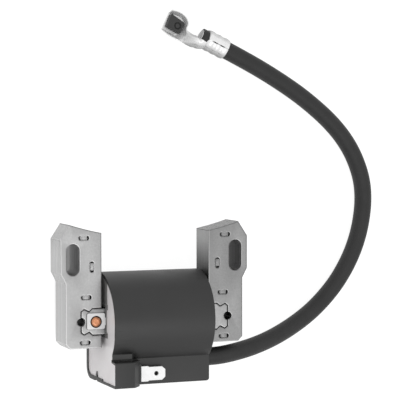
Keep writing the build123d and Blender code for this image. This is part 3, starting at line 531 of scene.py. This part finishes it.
# %% Resin and copper
def cast_resin(name):
    material, graph = new_finish(name)
    effects = graph.group(GRAIN, Scale=900.0, Patch_Scale=90.0)
    corner_shade = graph.group(CORNER_SHADE, Reach=1.6 * MM)["Mask"]
    colour = graph.mix(effects["Patches"], (0.68, 0.65, 0.658, 1.0), (0.71, 0.69, 0.695, 1.0))
    # Painted shade in the resin's corners.
    colour = graph.towards(colour, (0.32, 0.30, 0.31, 1.0), corner_shade, 0.35)
    roughness = graph.varied(effects["Fine"], 0.34, 0.44)
    principled(graph, colour, roughness, 0.0, effects["Patches"], 0.04)
    return material


def bright_copper(name):
    material, graph = new_finish(name)
    effects = graph.group(GRAIN, Scale=1800.0, Patch_Scale=700.0)
    corner_shade = graph.group(CORNER_SHADE, Reach=0.9 * MM)["Mask"]
    colour = graph.mix(effects["Patches"], (0.60, 0.29, 0.17, 1.0), (0.56, 0.23, 0.11, 1.0))
    # Painted shade round the rivet's head.
    colour = graph.towards(colour, (0.20, 0.09, 0.045, 1.0), corner_shade, 0.8)
    roughness = graph.varied(effects["Fine"], 0.25, 0.42)
    principled(graph, colour, roughness, 1.0, effects["Fine"], 0.03)
    return material


RESIN = cast_resin("potting_resin")
COPPER = bright_copper("rivet_copper")
print("resin and copper ready")

# %% Tinned plate
JAW_FADE = (16.35, 19.35)  # along the clip: where the dark flanks start to fade, and where they end


def before_jaw(graph, place):
    """1 on the clip's barrel and neck, 0 on its jaw."""
    along = graph.vector_math("DOT_PRODUCT", place, clip_along)["Value"]
    start, end = (clip_mouth.dot(clip_along) + x for x in JAW_FADE)
    return graph.spread(along, start * MM, end * MM, 1.0, 0.0)


def tinned(name, level, smooth, rough, metallic, flank_shade, until_jaw=False):
    material, graph = new_finish(name)
    place = graph.place()
    effects = graph.group(GRAIN, Scale=1500.0, Patch_Scale=260.0)
    corner_shade = graph.group(CORNER_SHADE, Reach=0.8 * MM)["Mask"]
    streaks = graph.noise(graph.stretched(place, 1.0, 0.1, 1.0), 4200.0, 3.0)
    colour = graph.mix(effects["Patches"], grey(level), grey(level * 0.93))
    # Painted shade in the corners.
    colour = graph.towards(colour, grey(level * 0.35), corner_shade, 0.45)
    # Painted shade on flanks that turn away from the light.
    flank = graph.spread(graph.flatness(), 0.3, 0.95, flank_shade, 0.0)
    if until_jaw:
        flank = graph.math("MULTIPLY", flank, before_jaw(graph, place))
    colour = graph.mix(flank, colour, grey(level * 0.32))
    roughness = graph.varied(streaks, smooth, rough)
    principled(graph, colour, roughness, metallic, effects["Fine"], 0.01, edge=0.15)
    return material


TINNED_PLATE = tinned("tinned_plate", 0.76, 0.28, 0.42, 0.0, 0.9)
TINNED_BLADE = tinned("tinned_blade", 0.78, 0.28, 0.42, 0.3, 0.4)
TINNED_CLIP = tinned("tinned_clip", 0.84, 0.16, 0.34, 0.35, 1.0, until_jaw=True)
print("tinned plate ready")

# %% [markdown]
# ## Pieces that keep their CAD mesh
# The windings, the paper between them, the pale bobbin and the circuit board are buried in the
# resin. They still get real finishes, because the model can be taken apart: turns of wire are a
# wave along the coil's axis, and the board has a woven ground with its tracks under green lacquer.
# The resin itself shows at the open end of the case, and its CAD shape is right as it is.


# %% Finishes of the buried pieces
def wound_wire(name, pitch, light, dark):
    """Turns of wire along X. The pitch is in mm."""
    material, graph = new_finish(name)
    along = graph.axes(graph.place())["X"]
    turn = graph.math("FRACT", graph.math("DIVIDE", along, pitch * MM))
    from_crown = graph.math("ABSOLUTE", graph.math("SUBTRACT", turn, 0.5))
    crown = graph.math("SUBTRACT", 1.0, graph.math("MULTIPLY", from_crown, 2.0))
    effects = graph.group(GRAIN, Scale=1500.0, Patch_Scale=300.0)
    # The crowns of the turns are painted lighter and the grooves between them darker: painted highlight
    # and painted shade.
    colour = graph.mix(graph.math("MULTIPLY", crown, effects["Patches"]), dark, light)
    principled(graph, colour, 0.32, 0.8, crown, pitch * 0.3)
    return material


def plain_matte(name, low, high, roughness, patch_scale):
    material, graph = new_finish(name)
    effects = graph.group(GRAIN, Scale=2600.0, Patch_Scale=patch_scale)
    colour = graph.mix(effects["Patches"], low, high)
    roughness = graph.varied(effects["Fine"], roughness - 0.06, roughness + 0.06)
    principled(graph, colour, roughness, 0.0, effects["Fine"], 0.03)
    return material


def board_laminate(name):
    material, graph = new_finish(name)
    place = graph.place()
    weave = graph.add("TexBrick", {"Vector": place, "Scale": 900.0, "Mortar Size": 0.03})
    along = graph.noise(graph.stretched(place, 1.0, 1.0, 0.2), 420.0, 1.0)
    tracks = graph.spread(along, 0.55, 0.58)
    colour = graph.mix(weave.outputs["Fac"], (0.035, 0.16, 0.06, 1.0), (0.05, 0.21, 0.08, 1.0))
    colour = graph.mix(tracks, colour, (0.08, 0.30, 0.12, 1.0))
    principled(graph, colour, 0.35, 0.0, tracks, 0.04)
    return material


PRIMARY_WIRE = wound_wire("primary_turns", 0.8, (0.72, 0.33, 0.14, 1.0), (0.30, 0.11, 0.05, 1.0))
SECONDARY_WIRE = wound_wire("secondary_turns", 0.2, (0.66, 0.30, 0.13, 1.0), (0.34, 0.14, 0.06, 1.0))
WIRE_ENAMEL = plain_matte("wire_enamel", (0.40, 0.17, 0.06, 1.0), (0.52, 0.24, 0.09, 1.0), 0.3, 500.0)
SLEEVE_PAPER = plain_matte("sleeve_paper", (0.60, 0.48, 0.28, 1.0), (0.68, 0.56, 0.34, 1.0), 0.75, 400.0)
PALE_NYLON = plain_matte("pale_nylon", (0.66, 0.62, 0.52, 1.0), (0.72, 0.68, 0.58, 1.0), 0.45, 120.0)
BOARD = board_laminate("board_laminate")
print("finishes of the buried pieces ready")

# %% Dress the CAD nodes and the lead
NODE_FINISHES = {
    "primary_winding": PRIMARY_WIRE,
    "insulation_sleeve": SLEEVE_PAPER,
    "secondary_bobbin": PALE_NYLON,
    "secondary_winding": SECONDARY_WIRE,
    "circuit_board": BOARD,
    "power_transistor": COMPONENT_BLACK,
    "driver_transistor": COMPONENT_BLACK,
    "resistors": COMPONENT_BLACK,
    "diode": COMPONENT_BLACK,
    "primary_wires": WIRE_ENAMEL,
    "ground_wire": WIRE_ENAMEL,
    "high_tension_contact": TINNED_PLATE,
    "potting_compound": RESIN,
}


def dress(thing, material):
    thing.data.materials.clear()
    thing.data.materials.append(material)
    return thing


for node_name, material in NODE_FINISHES.items():
    dress(frame["nodes"][node_name], material)
dress(lead, LEAD_RUBBER)
dress(conductor, COPPER)
print("finishes on", len(NODE_FINISHES), "CAD nodes and the lead")

# %% [markdown]
# ## Turning mesh code into pieces
# New pieces are made with bmesh. The helper closes such a mesh into an object: it shades the mesh
# smooth, but marks an edge as sharp where its two faces meet at more than a set angle, or where a
# large flat face ends. Without the second rule a flat face would borrow the direction of its
# rounded border and look swollen.

# %% Piece helpers
SHARP_FROM = 30  # degrees
FLAT_ENDS_FROM = 4  # degrees
LARGE_FACE = 4.0  # square millimetres
SEAM_GAP = 0.0005


def piece_from(mesh_builder, name, material, sharp_from=SHARP_FROM):
    """Closes a bmesh into an object that rides on the coil."""
    bmesh.ops.recalc_face_normals(mesh_builder, faces=mesh_builder.faces)
    for face in mesh_builder.faces:
        face.smooth = True
    for edge in mesh_builder.edges:
        faces = edge.link_faces
        if len(faces) != 2:
            continue
        large = max(face.calc_area() for face in faces) > LARGE_FACE * MM * MM
        edge.smooth = edge.calc_face_angle() < math.radians(FLAT_ENDS_FROM if large else sharp_from)
    mesh = bpy.data.meshes.new(name)
    mesh_builder.to_mesh(mesh)
    mesh_builder.free()
    piece = bpy.data.objects.new(name, mesh)
    scene.collection.objects.link(piece)
    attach(piece, "root")
    return dress(piece, material)


def node_mesh(node_name):
    """A CAD node's mesh as a bmesh, with its seams closed."""
    mesh_builder = bmesh.new()
    mesh_builder.from_mesh(frame["nodes"][node_name].data)
    bmesh.ops.remove_doubles(mesh_builder, verts=mesh_builder.verts, dist=SEAM_GAP * MM)
    return mesh_builder


print("piece helpers ready")

# %% [markdown]
# ## The lamination stack
# Each leg and the core bar become a real stack: the outline of the CAD solid is repeated for every
# sheet, pulled in a little where two sheets meet and pushed in or out by a few hundredths of a
# millimetre, because stamped sheets never line up exactly. The outline is read from the flat end
# of the solid: the edges that belong to only one triangle there form closed loops, and they run
# with the metal on their left, so one rule pulls every loop inwards, holes included.

# %% Outlines of a flat face
SAME_HEIGHT = 0.002
MITRE_LIMIT = 0.3


def flat_loops(node_name, height):
    """Closed loops round a node's flat face, with the metal on the left of each step."""
    mesh_builder = node_mesh(node_name)
    steps = {}
    for face in mesh_builder.faces:
        if all(abs(corner.co.z - height) < SAME_HEIGHT * MM for corner in face.verts):
            for corner in face.loops:
                step = (corner.vert.index, corner.link_loop_next.vert.index)
                steps[step] = corner.vert.co.to_2d()
    onward = {}
    for (start, end), place in steps.items():
        if (end, start) not in steps:
            onward[start] = (end, place)
    loops = []
    while onward:
        here, loop = next(iter(onward)), []
        while here in onward:
            here, place = onward.pop(here)
            loop.append(place)
        loops.append(loop)
    mesh_builder.free()
    return loops


def area_of(loop):
    return sum(here.cross(after) for here, after in zip(loop, loop[1:] + loop[:1])) / 2


def pulled_in(loop, distance):
    """The loop moved towards the metal by a distance, with mitred corners."""
    moved = []
    for before, here, after in zip(loop[-1:] + loop[:-1], loop, loop[1:] + loop[:1]):
        first = (here - before).normalized()
        second = (after - here).normalized()
        normals = Vector((-first.y, first.x)), Vector((-second.y, second.x))
        mitre = (normals[0] + normals[1]) / max(MITRE_LIMIT, 1 + normals[0].dot(normals[1]))
        moved.append(here + mitre * distance)
    return moved


leg_loops = flat_loops("left_leg", stack_high)
print("loops on a leg's front:", sorted(round(area_of(loop) / MM**2, 1) for loop in leg_loops))

# %% [markdown]
# The sides of a stack are rings of vertices, one above the other. Every sheet gives two rings near
# its faces and one in the groove above it. The top sheet shows how it was made: a stamping tool
# bends the edge down a little before it cuts, so the front edges are rolled over.

# %% Rings of the sides
GROOVE = 0.045
SLIP = 0.02
SHEET_EDGE = 0.06
BOTTOM_INSET = 0.08
ROLLED_EDGE = ((0.16, 0.0), (0.05, 0.05), (0.0, 0.16))  # (below the top, inset)


def sheet_levels(clearance, seed):
    """(height, inset) of every ring of the stack's sides, from the bottom up, in millimetres."""
    chance = random.Random(seed)
    levels = [(0.0, clearance + BOTTOM_INSET)]
    for sheet in range(SHEETS):
        low, high = sheet * SHEET_T, (sheet + 1) * SHEET_T
        slip = max(0.0, clearance + chance.uniform(-SLIP, SLIP))
        levels += [(low + SHEET_EDGE, slip), (high - SHEET_EDGE, slip), (high, clearance + GROOVE)]
    below_edge = levels[:-2]
    return below_edge + [(high - depth, clearance + inset) for depth, inset in ROLLED_EDGE]


def ring_at(mesh_builder, loop, height):
    return [mesh_builder.verts.new((place.x, place.y, height)) for place in loop]


def wall(mesh_builder, rings):
    """Quads between rings of vertices with equal counts."""
    for low, high in zip(rings, rings[1:]):
        for here in range(len(low)):
            after = (here + 1) % len(low)
            mesh_builder.faces.new((low[here], low[after], high[after], high[here]))


def cap(mesh_builder, rings):
    """Fills the flat space between closed rings with triangles."""
    edges = []
    for ring in rings:
        for ends in zip(ring, ring[1:] + ring[:1]):
            edges.append(mesh_builder.edges.get(ends) or mesh_builder.edges.new(ends))
    bmesh.ops.triangle_fill(mesh_builder, use_beauty=True, edges=edges)


print("rings on the sides of a stack:", len(sheet_levels(0.0, 0)))

# %% [markdown]
# The oval interlocks hold the sheets together. They are half punched through: deep at their ends
# and raised in the middle, which is what grips the next sheet. Each one is a nest of shrinking
# rings, and the height of a ring's points depends on how far along the oval they lie. The core bar
# is pulled in by JOINT_GAP all round, so that the line of the joint shows.

# %% Interlocks and stacks
INTERLOCK_END = 1.2
INTERLOCK_CREST = 0.05
INTERLOCK_STEEPNESS = 4
INTERLOCK_RIM = 0.07
INTERLOCK_RIM_DROP = 0.05
INTERLOCK_RINGS = (1.0, 0.9, 0.8, 0.65, 0.4, 0.2)
INTERLOCK_AREA = 9.0  # square millimetres; a larger loop is an outline or a slot
STACK_SHARP_FROM = 28  # degrees
JOINT_GAP = 0.28


def interlock(mesh_builder, loop, height):
    """A half-punched oval: its rim ring is returned, its floor is deep at both ends."""
    middle = sum(loop, Vector((0, 0))) / len(loop)
    longest = max((place - middle for place in loop), key=lambda reach: reach.length)
    half, along = longest.length, longest.normalized()

    def floor_point(place):
        share = min(1.0, abs((place - middle).dot(along)) / half)
        drop = INTERLOCK_CREST + (INTERLOCK_END - INTERLOCK_CREST) * share**INTERLOCK_STEEPNESS
        return mesh_builder.verts.new((place.x, place.y, height - drop * MM))

    rim = ring_at(mesh_builder, pulled_in(loop, INTERLOCK_RIM * MM), height)
    rings = [rim, ring_at(mesh_builder, loop, height - INTERLOCK_RIM_DROP * MM)]
    for shrink in INTERLOCK_RINGS:
        rings.append([floor_point(middle + (place - middle) * shrink) for place in loop])
    wall(mesh_builder, rings)
    mesh_builder.faces.new(rings[-1])
    return rim


def lamination_stack(node_name, name, material, clearance, seed):
    """A stack of sheets with the outline of a CAD node, in that node's place."""
    loops = flat_loops(node_name, stack_high)
    punched = [loop for loop in loops if abs(area_of(loop)) < INTERLOCK_AREA * MM * MM]
    outlines = [loop for loop in loops if abs(area_of(loop)) >= INTERLOCK_AREA * MM * MM]
    mesh_builder = bmesh.new()
    bottoms, tops = [], []
    for outline in outlines:
        rings = [
            ring_at(mesh_builder, pulled_in(outline, inset * MM), stack_low + height * MM)
            for height, inset in sheet_levels(clearance, seed)
        ]
        wall(mesh_builder, rings)
        bottoms.append(rings[0])
        tops.append(rings[-1])
    tops += [interlock(mesh_builder, loop, stack_high) for loop in punched]
    cap(mesh_builder, bottoms)
    cap(mesh_builder, tops)
    piece = piece_from(mesh_builder, name, material, STACK_SHARP_FROM)
    print(name, len(piece.data.polygons), "faces,", len(punched), "interlocks")
    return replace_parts(piece, node_name)


lamination_stack("left_leg", "left_leg_laminations", LEFT_STEEL, 0.0, seed=3)
lamination_stack("right_leg", "right_leg_laminations", RIGHT_STEEL, 0.0, seed=8)
lamination_stack("core_bar", "core_bar_laminations", BAR_STEEL, JOINT_GAP, seed=5)

# %% [markdown]
# ## Case, bobbin and terminals
# The moulded and stamped pieces already have their shape in CAD. What they lack is the small radius
# that every real edge has, which is what catches the light. The case and the bobbin have many
# curved edges that meet, where a bevel can go wrong, so their copies are only shaded smooth and
# their finish rounds the edges. The plate, the rivet, the blade and the clip's block are simple, so
# their copies get a real bevel.

# %% Smooth and rounded copies
ROUNDED_FROM = 35  # degrees
ROUNDING_STEPS = 2
FLAT_WITHIN = 0.6  # degrees


def smoothed(node_name, name, material):
    """A copy of a CAD node with smooth curved faces and crisp flat ones, in that node's place."""
    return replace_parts(piece_from(node_mesh(node_name), name, material), node_name)


def rounded(node_name, name, material, radius):
    """A copy of a CAD node with its sharp edges rounded off, in that node's place."""
    mesh_builder = node_mesh(node_name)
    bmesh.ops.dissolve_limit(
        mesh_builder,
        angle_limit=math.radians(FLAT_WITHIN),
        verts=mesh_builder.verts,
        edges=mesh_builder.edges,
    )
    limit = math.radians(ROUNDED_FROM)
    shared = [edge for edge in mesh_builder.edges if edge.is_manifold]
    bmesh.ops.bevel(
        mesh_builder,
        geom=[edge for edge in shared if edge.calc_face_angle() > limit],
        offset=radius * MM,
        segments=ROUNDING_STEPS,
        profile=0.5,
        affect="EDGES",
    )
    piece = piece_from(mesh_builder, name, material)
    print(name, "rounded by", radius, "mm")
    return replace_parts(piece, node_name)


smoothed("coil_case", "case_shell", CASE_PLASTIC)
smoothed("primary_bobbin", "bobbin_and_collar", BOBBIN_NYLON)
rounded("ground_plate", "ground_plate_sheet", TINNED_PLATE, 0.12)
rounded("ground_rivet", "ground_rivet_head", COPPER, 0.08)
rounded("kill_terminal", "kill_blade", TINNED_BLADE, 0.1)
insert = rounded("clip_insert", "plug_clip_block", CLIP_RUBBER, 0.25)

# %% [markdown]
# ## The plug clip
# The clip is one stamped sheet. Round the lead it is rolled into a barrel with three crimps, and
# its seam gapes a little between them. Then the sheet unrolls into a neck with a wing on one side,
# and it ends in a jaw: a floor between two walls, which hold the rubber block. A round tab stands
# across the sheet and stops the lead.
#
# A sheet like this could be unfolded and bent, but a skin is simpler: each station along the clip
# gets nine points across the sheet, a smooth curve runs through them both ways, and Solidify gives
# the skin its thickness. Subdivision rounds the cut rims. The barrel's stations are worked out, and
# the neck's and the jaw's are listed, as (x, y, z) in the clip's own frame.

# %% The clip's sizes
SHEET = 0.5
ACROSS = 9
TUBE_R = LEAD_D / 2 + SHEET / 2
TUBE_Z = 4.1
CRIMPS = 3
CRIMP_BULGE = 0.25
SEAM_TURN = (88, 449)  # degrees round the lead, from one edge of the sheet to the other
SEAM_EYE = 3  # degrees that each edge of the seam draws back between two crimps
# x: the turn of the sheet as the barrel opens, and how far its open side flares.
OPENING = {9.7: ((150, 430), 1.1), 10.6: ((225, 432), 1.2), 12.2: ((285, 435), 1.33)}
NECK_STATIONS = [
    [(13.4, 3.3, 0.6), (13.4, 4.6, 1.6), (13.4, 5.2, 3.2), (13.4, 4.9, 4.9), (13.4, 4.1, 6.2),
     (13.4, 3.3, 6.9), (13.4, 2.6, 7.2), (13.4, 1.7, 7.3), (13.4, 0.7, 5.0)],
    [(14.8, 4.1, 0.7), (14.8, 4.8, 1.7), (14.8, 5.3, 3.1), (14.8, 5.0, 4.6), (14.8, 4.2, 5.7),
     (14.9, 3.4, 6.2), (15.0, 2.7, 6.5), (15.1, 1.9, 6.6), (15.2, 0.8, 4.4)],
    [(16.2, 4.6, 1.2), (16.2, 5.0, 2.1), (16.2, 5.3, 3.1), (16.2, 5.0, 4.2), (16.2, 4.2, 4.9),
     (16.3, 3.4, 5.2), (16.4, 2.7, 5.4), (16.5, 1.7, 5.5), (16.6, 0.5, 3.4)],
    [(17.6, 5.3, 2.6), (17.6, 5.2, 2.9), (17.6, 5.0, 3.2), (17.6, 4.7, 3.4), (17.6, 4.2, 3.5),
     (17.7, 3.2, 3.6), (17.8, 2.2, 3.8), (17.9, 1.0, 4.0), (18.0, -0.2, 2.2)],
    [(19.2, 5.35, 3.4), (19.2, 5.0, 2.7), (19.2, 4.6, 2.0), (19.2, 3.9, 1.6), (19.1, 2.2, 1.5),
     (19.0, 0.5, 1.5), (18.9, -0.8, 1.6), (18.6, -1.2, 2.5), (18.4, -1.6, 3.4)],
]
# The near wall's foot (x, y) and top (x, y, z), then the far wall's.
JAW_STATIONS = [
    ((19.4, -2.5), (18.6, -2.9, 3.4), (20.4, 4.05), (20.4, 5.45, 3.4)),
    ((20.6, -3.7), (19.9, -4.2, 3.4), (21.4, 4.1), (21.4, 5.5, 3.4)),
    ((22.0, -4.1), (21.8, -5.0, 3.4), (22.8, 4.1), (22.8, 5.5, 3.4)),
    ((24.6, -3.9), (24.5, -5.2, 3.4), (24.8, 4.1), (24.8, 5.4, 3.4)),
    ((27.3, -3.4), (27.3, -4.6, 3.4), (27.3, 4.0), (27.3, 4.95, 3.4)),
]
JAW_WALL_SHARES = (0.2, 0.6, 1.0)
JAW_BEND = 0.35
STOP_TAB_X = 12.15
STOP_TAB_R = 3.3
STOP_TAB_SIDES = 16
print("the clip's barrel is", TUBE_R * 2 + SHEET, "mm across")


# %% The clip's stations
def tube_station(x, turn, radius, flare=1.0):
    """Points round the barrel's section, from one edge of the sheet to the other."""
    points = []
    for step in range(ACROSS):
        angle = math.radians(turn[0] + (turn[1] - turn[0]) * step / (ACROSS - 1))
        side = radius * math.cos(angle)
        height = max(SHEET / 2, TUBE_Z + radius * math.sin(angle))
        points.append(Vector((x, side * flare if side > 0 else side, height)))
    return points


def jaw_station(near_foot, near_top, far_foot, far_top):
    """Points from the far wall's top over the floor to the near wall's top."""
    near, far = (Vector((*foot, SHEET / 2)) for foot in (near_foot, far_foot))
    bend = (far - near).normalized() * JAW_BEND
    far_wall = [far.lerp(Vector(far_top), share) for share in JAW_WALL_SHARES]
    near_wall = [near.lerp(Vector(near_top), share) for share in JAW_WALL_SHARES]
    return far_wall[::-1] + [far - bend, near.lerp(far, 0.5), near + bend] + near_wall


def clip_stations():
    """All stations along the clip, each with the same number of points."""
    stations = []
    for half_step in range(2 * CRIMPS + 1):
        bulging = half_step % 2
        eye = 0 if bulging or half_step in (0, 2 * CRIMPS) else SEAM_EYE
        turn = (SEAM_TURN[0] + eye, SEAM_TURN[1] - eye)
        x = CLIP_BARREL * half_step / (2 * CRIMPS)
        stations.append(tube_station(x, turn, TUBE_R + CRIMP_BULGE * bulging))
    stations += [tube_station(x, turn, TUBE_R, flare) for x, (turn, flare) in OPENING.items()]
    stations += [[Vector(point) for point in station] for station in NECK_STATIONS]
    return stations + [jaw_station(*station) for station in JAW_STATIONS]


print("stations along the clip:", len(clip_stations()))

# %% The clip's sheet
STEPS_ACROSS = 4
STEPS_ALONG = 3
SMOOTH_ALL_OVER = 180
clip_across = Vector((0, 0, 1)).cross(clip_along)


def on_clip(point):
    """A point of the clip's own frame, in the scene's metres, kept above the surface."""
    height = Vector((0, 0, max(point.z, SHEET / 2)))
    return (clip_mouth + clip_along * point.x + clip_across * point.y + height) * MM


def smooth_run(points, steps):
    """Points on a smooth curve through the given points (Catmull-Rom)."""
    ends = [2 * points[0] - points[1]] + points + [2 * points[-1] - points[-2]]
    run = []
    for before, start, end, after in zip(ends, ends[1:], ends[2:], ends[3:]):
        for step in range(steps):
            share = step / steps
            line = 2 * start + (end - before) * share
            bend = (2 * before - 5 * start + 4 * end - after) * share**2
            twist = (3 * start - 3 * end + after - before) * share**3
            run.append(0.5 * (line + bend + twist))
    return run + [points[-1]]


def stop_tab():
    """The round tab that the lead's end touches."""
    turns = (math.tau * step / STOP_TAB_SIDES for step in range(STOP_TAB_SIDES))
    return [
        Vector((STOP_TAB_X, STOP_TAB_R * math.cos(turn), TUBE_Z + STOP_TAB_R * math.sin(turn)))
        for turn in turns
    ]


def stamped_clip(name, material):
    """The whole sheet: a grid of quads with the tab, thickened and with rounded rims."""
    across = [smooth_run(station, STEPS_ACROSS) for station in clip_stations()]
    columns = [smooth_run(list(column), STEPS_ALONG) for column in zip(*across)]
    mesh_builder = bmesh.new()
    grid = [[mesh_builder.verts.new(on_clip(point)) for point in column] for column in columns]
    for left, right in zip(grid, grid[1:]):
        for here in range(len(left) - 1):
            mesh_builder.faces.new((left[here], right[here], right[here + 1], left[here + 1]))
    mesh_builder.faces.new([mesh_builder.verts.new(on_clip(point)) for point in stop_tab()])
    piece = piece_from(mesh_builder, name, material, SMOOTH_ALL_OVER)
    thickness = piece.modifiers.new("thickness", "SOLIDIFY")
    thickness.thickness = SHEET * MM
    thickness.offset = 0.0
    rims = piece.modifiers.new("rims", "SUBSURF")
    rims.levels = rims.render_levels = 1
    print(name, len(piece.data.polygons), "faces before its thickness")
    return piece


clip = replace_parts(stamped_clip("plug_clip", TINNED_CLIP), "spark_plug_clip")

# %% [markdown]

# %% [markdown]
# ## The floor
# The floor is a white sheet that runs past every edge of the picture. Seen by the camera, or in a
# reflection, it glows by itself, so that it reads as white while the object's shadow still falls on
# it. A glow knows nothing of shadows, though, and the floor would shine out from under the core and
# through its mounting slots. So a painted shadow dims the glow inside the outline of each leg, which
# is read from the same loops as the stack.

# %% Floor
FLOOR_HALF = 3.0
FLOOR_BOUNCE = 0.8
FLOOR_TONE = {"open": 0.25, "under": 0.1}
FLOOR_GLOW = {"open": 0.88, "under": 0.18}
# mm inside the outline: the shade grows over the first pair and fades over the second.
SHADE_REACH = {"X": ((4.5, 7), (2.5, 0)), "Y": ((0, 4), (6, 3))}


def leg_outline(leg):
    """The outer outline of a leg, which is the largest loop on its front."""
    return max(flat_loops(leg, stack_high), key=lambda loop: abs(area_of(loop)))


def seen_directly(graph):
    """1 for rays that show the background: camera, glossy and transmission rays."""
    path = graph.add("LightPath").outputs
    seen = graph.math("MAXIMUM", path["Is Camera Ray"], path["Is Glossy Ray"])
    return graph.math("MAXIMUM", seen, path["Is Transmission Ray"])


def under(graph, place, outline):
    """Mask of the painted shadow under a leg: 1 on the floor under it, fading out inside the leg's
    outline.
    """
    inside = 1.0
    for axis, (from_low, from_high) in SHADE_REACH.items():
        reach = [getattr(point, axis.lower()) for point in outline]
        low, high = min(reach), max(reach)
        rising = graph.spread(place[axis], low + from_low[0] * MM, low + from_low[1] * MM)
        falling = graph.spread(
            place[axis], high - from_high[0] * MM, high - from_high[1] * MM, 1.0, 0.0
        )
        inside = graph.math("MULTIPLY", graph.math("MULTIPLY", rising, falling), inside)
    return inside


def white_floor():
    material, graph = new_finish("studio_floor")
    place = graph.axes(graph.place())
    shades = [under(graph, place, leg_outline(leg)) for leg in ("left_leg", "right_leg")]
    # Painted shadow on the floor under the legs.
    leg_shadow = graph.math("ADD", *shades)
    tone = graph.mix(leg_shadow, grey(FLOOR_TONE["open"]), grey(FLOOR_TONE["under"]))
    strength = graph.spread(leg_shadow, 0.0, 1.0, FLOOR_GLOW["open"], FLOOR_GLOW["under"])
    bounce = graph.add("BsdfDiffuse", {"Color": grey(FLOOR_BOUNCE)}).outputs[0]
    shaded = graph.add("BsdfDiffuse", {"Color": tone}).outputs[0]
    glow = graph.add("Emission", {"Color": grey(1.0), "Strength": strength}).outputs[0]
    seen = graph.add("AddShader", {0: shaded, 1: glow}).outputs[0]
    both = graph.add("MixShader", {0: seen_directly(graph), 1: bounce, 2: seen})
    graph.add("OutputMaterial", {"Surface": both.outputs[0]})
    return material


def studio_floor():
    mesh_builder = bmesh.new()
    bmesh.ops.create_grid(mesh_builder, x_segments=1, y_segments=1, size=FLOOR_HALF)
    mesh = bpy.data.meshes.new("studio_floor")
    mesh_builder.to_mesh(mesh)
    mesh_builder.free()
    floor = bpy.data.objects.new("studio_floor", mesh)
    scene.collection.objects.link(floor)
    mesh.materials.append(white_floor())


studio_floor()
print("floor", 2 * FLOOR_HALF, "m wide")

# %% [markdown]
# ## The light
# The world is an even white room, which lights every side softly. Where a piece mirrors the room,
# its walls are dimmer near the ground, and that gives bright metal a dark side. One soft lamp above
# makes the upper faces a little brighter and casts a faint shadow.

# %% Room and lamp
ROOM_LEVEL = 1.0
WALL_FOOT = 0.3
WALL_TOP = 0.32
KEY_PLACE = (0.06, -0.14, 0.4)
KEY_AIM = (0.0, 0.0, 0.02)
KEY_SIZE = 0.15
KEY_POWER = 0.2


def studio_world(level):
    world = bpy.data.worlds.new("studio")
    world.use_nodes = True
    world.node_tree.nodes.clear()
    graph = Graph(world.node_tree)
    upwards = graph.axes(graph.add("TexCoord").outputs["Generated"])["Z"]
    walls = graph.spread(upwards, 0.0, WALL_TOP, WALL_FOOT, 1.0)
    mirrored = graph.add("LightPath").outputs["Is Glossy Ray"]
    strength = graph.spread(mirrored, 0.0, 1.0, 1.0, walls)
    room = graph.add("Background", {"Color": grey(1.0), "Strength": level}).outputs[0]
    backdrop = graph.add("Background", {"Color": grey(1.0), "Strength": strength}).outputs[0]
    both = graph.add("MixShader", {0: seen_directly(graph), 1: room, 2: backdrop})
    graph.add("OutputWorld", {"Surface": both.outputs[0]})
    scene.world = world


def softbox(name, place, aim, size, power):
    lamp = bpy.data.lights.new(name, "AREA")
    lamp.shape = "SQUARE"
    lamp.size = size
    lamp.energy = power
    box = bpy.data.objects.new(name, lamp)
    box.location = place
    box.rotation_euler = (Vector(aim) - Vector(place)).to_track_quat("-Z", "Y").to_euler()
    box.visible_camera = False
    scene.collection.objects.link(box)


studio_world(ROOM_LEVEL)
softbox("key_softbox", KEY_PLACE, KEY_AIM, KEY_SIZE, KEY_POWER)
print("room and lamp ready")
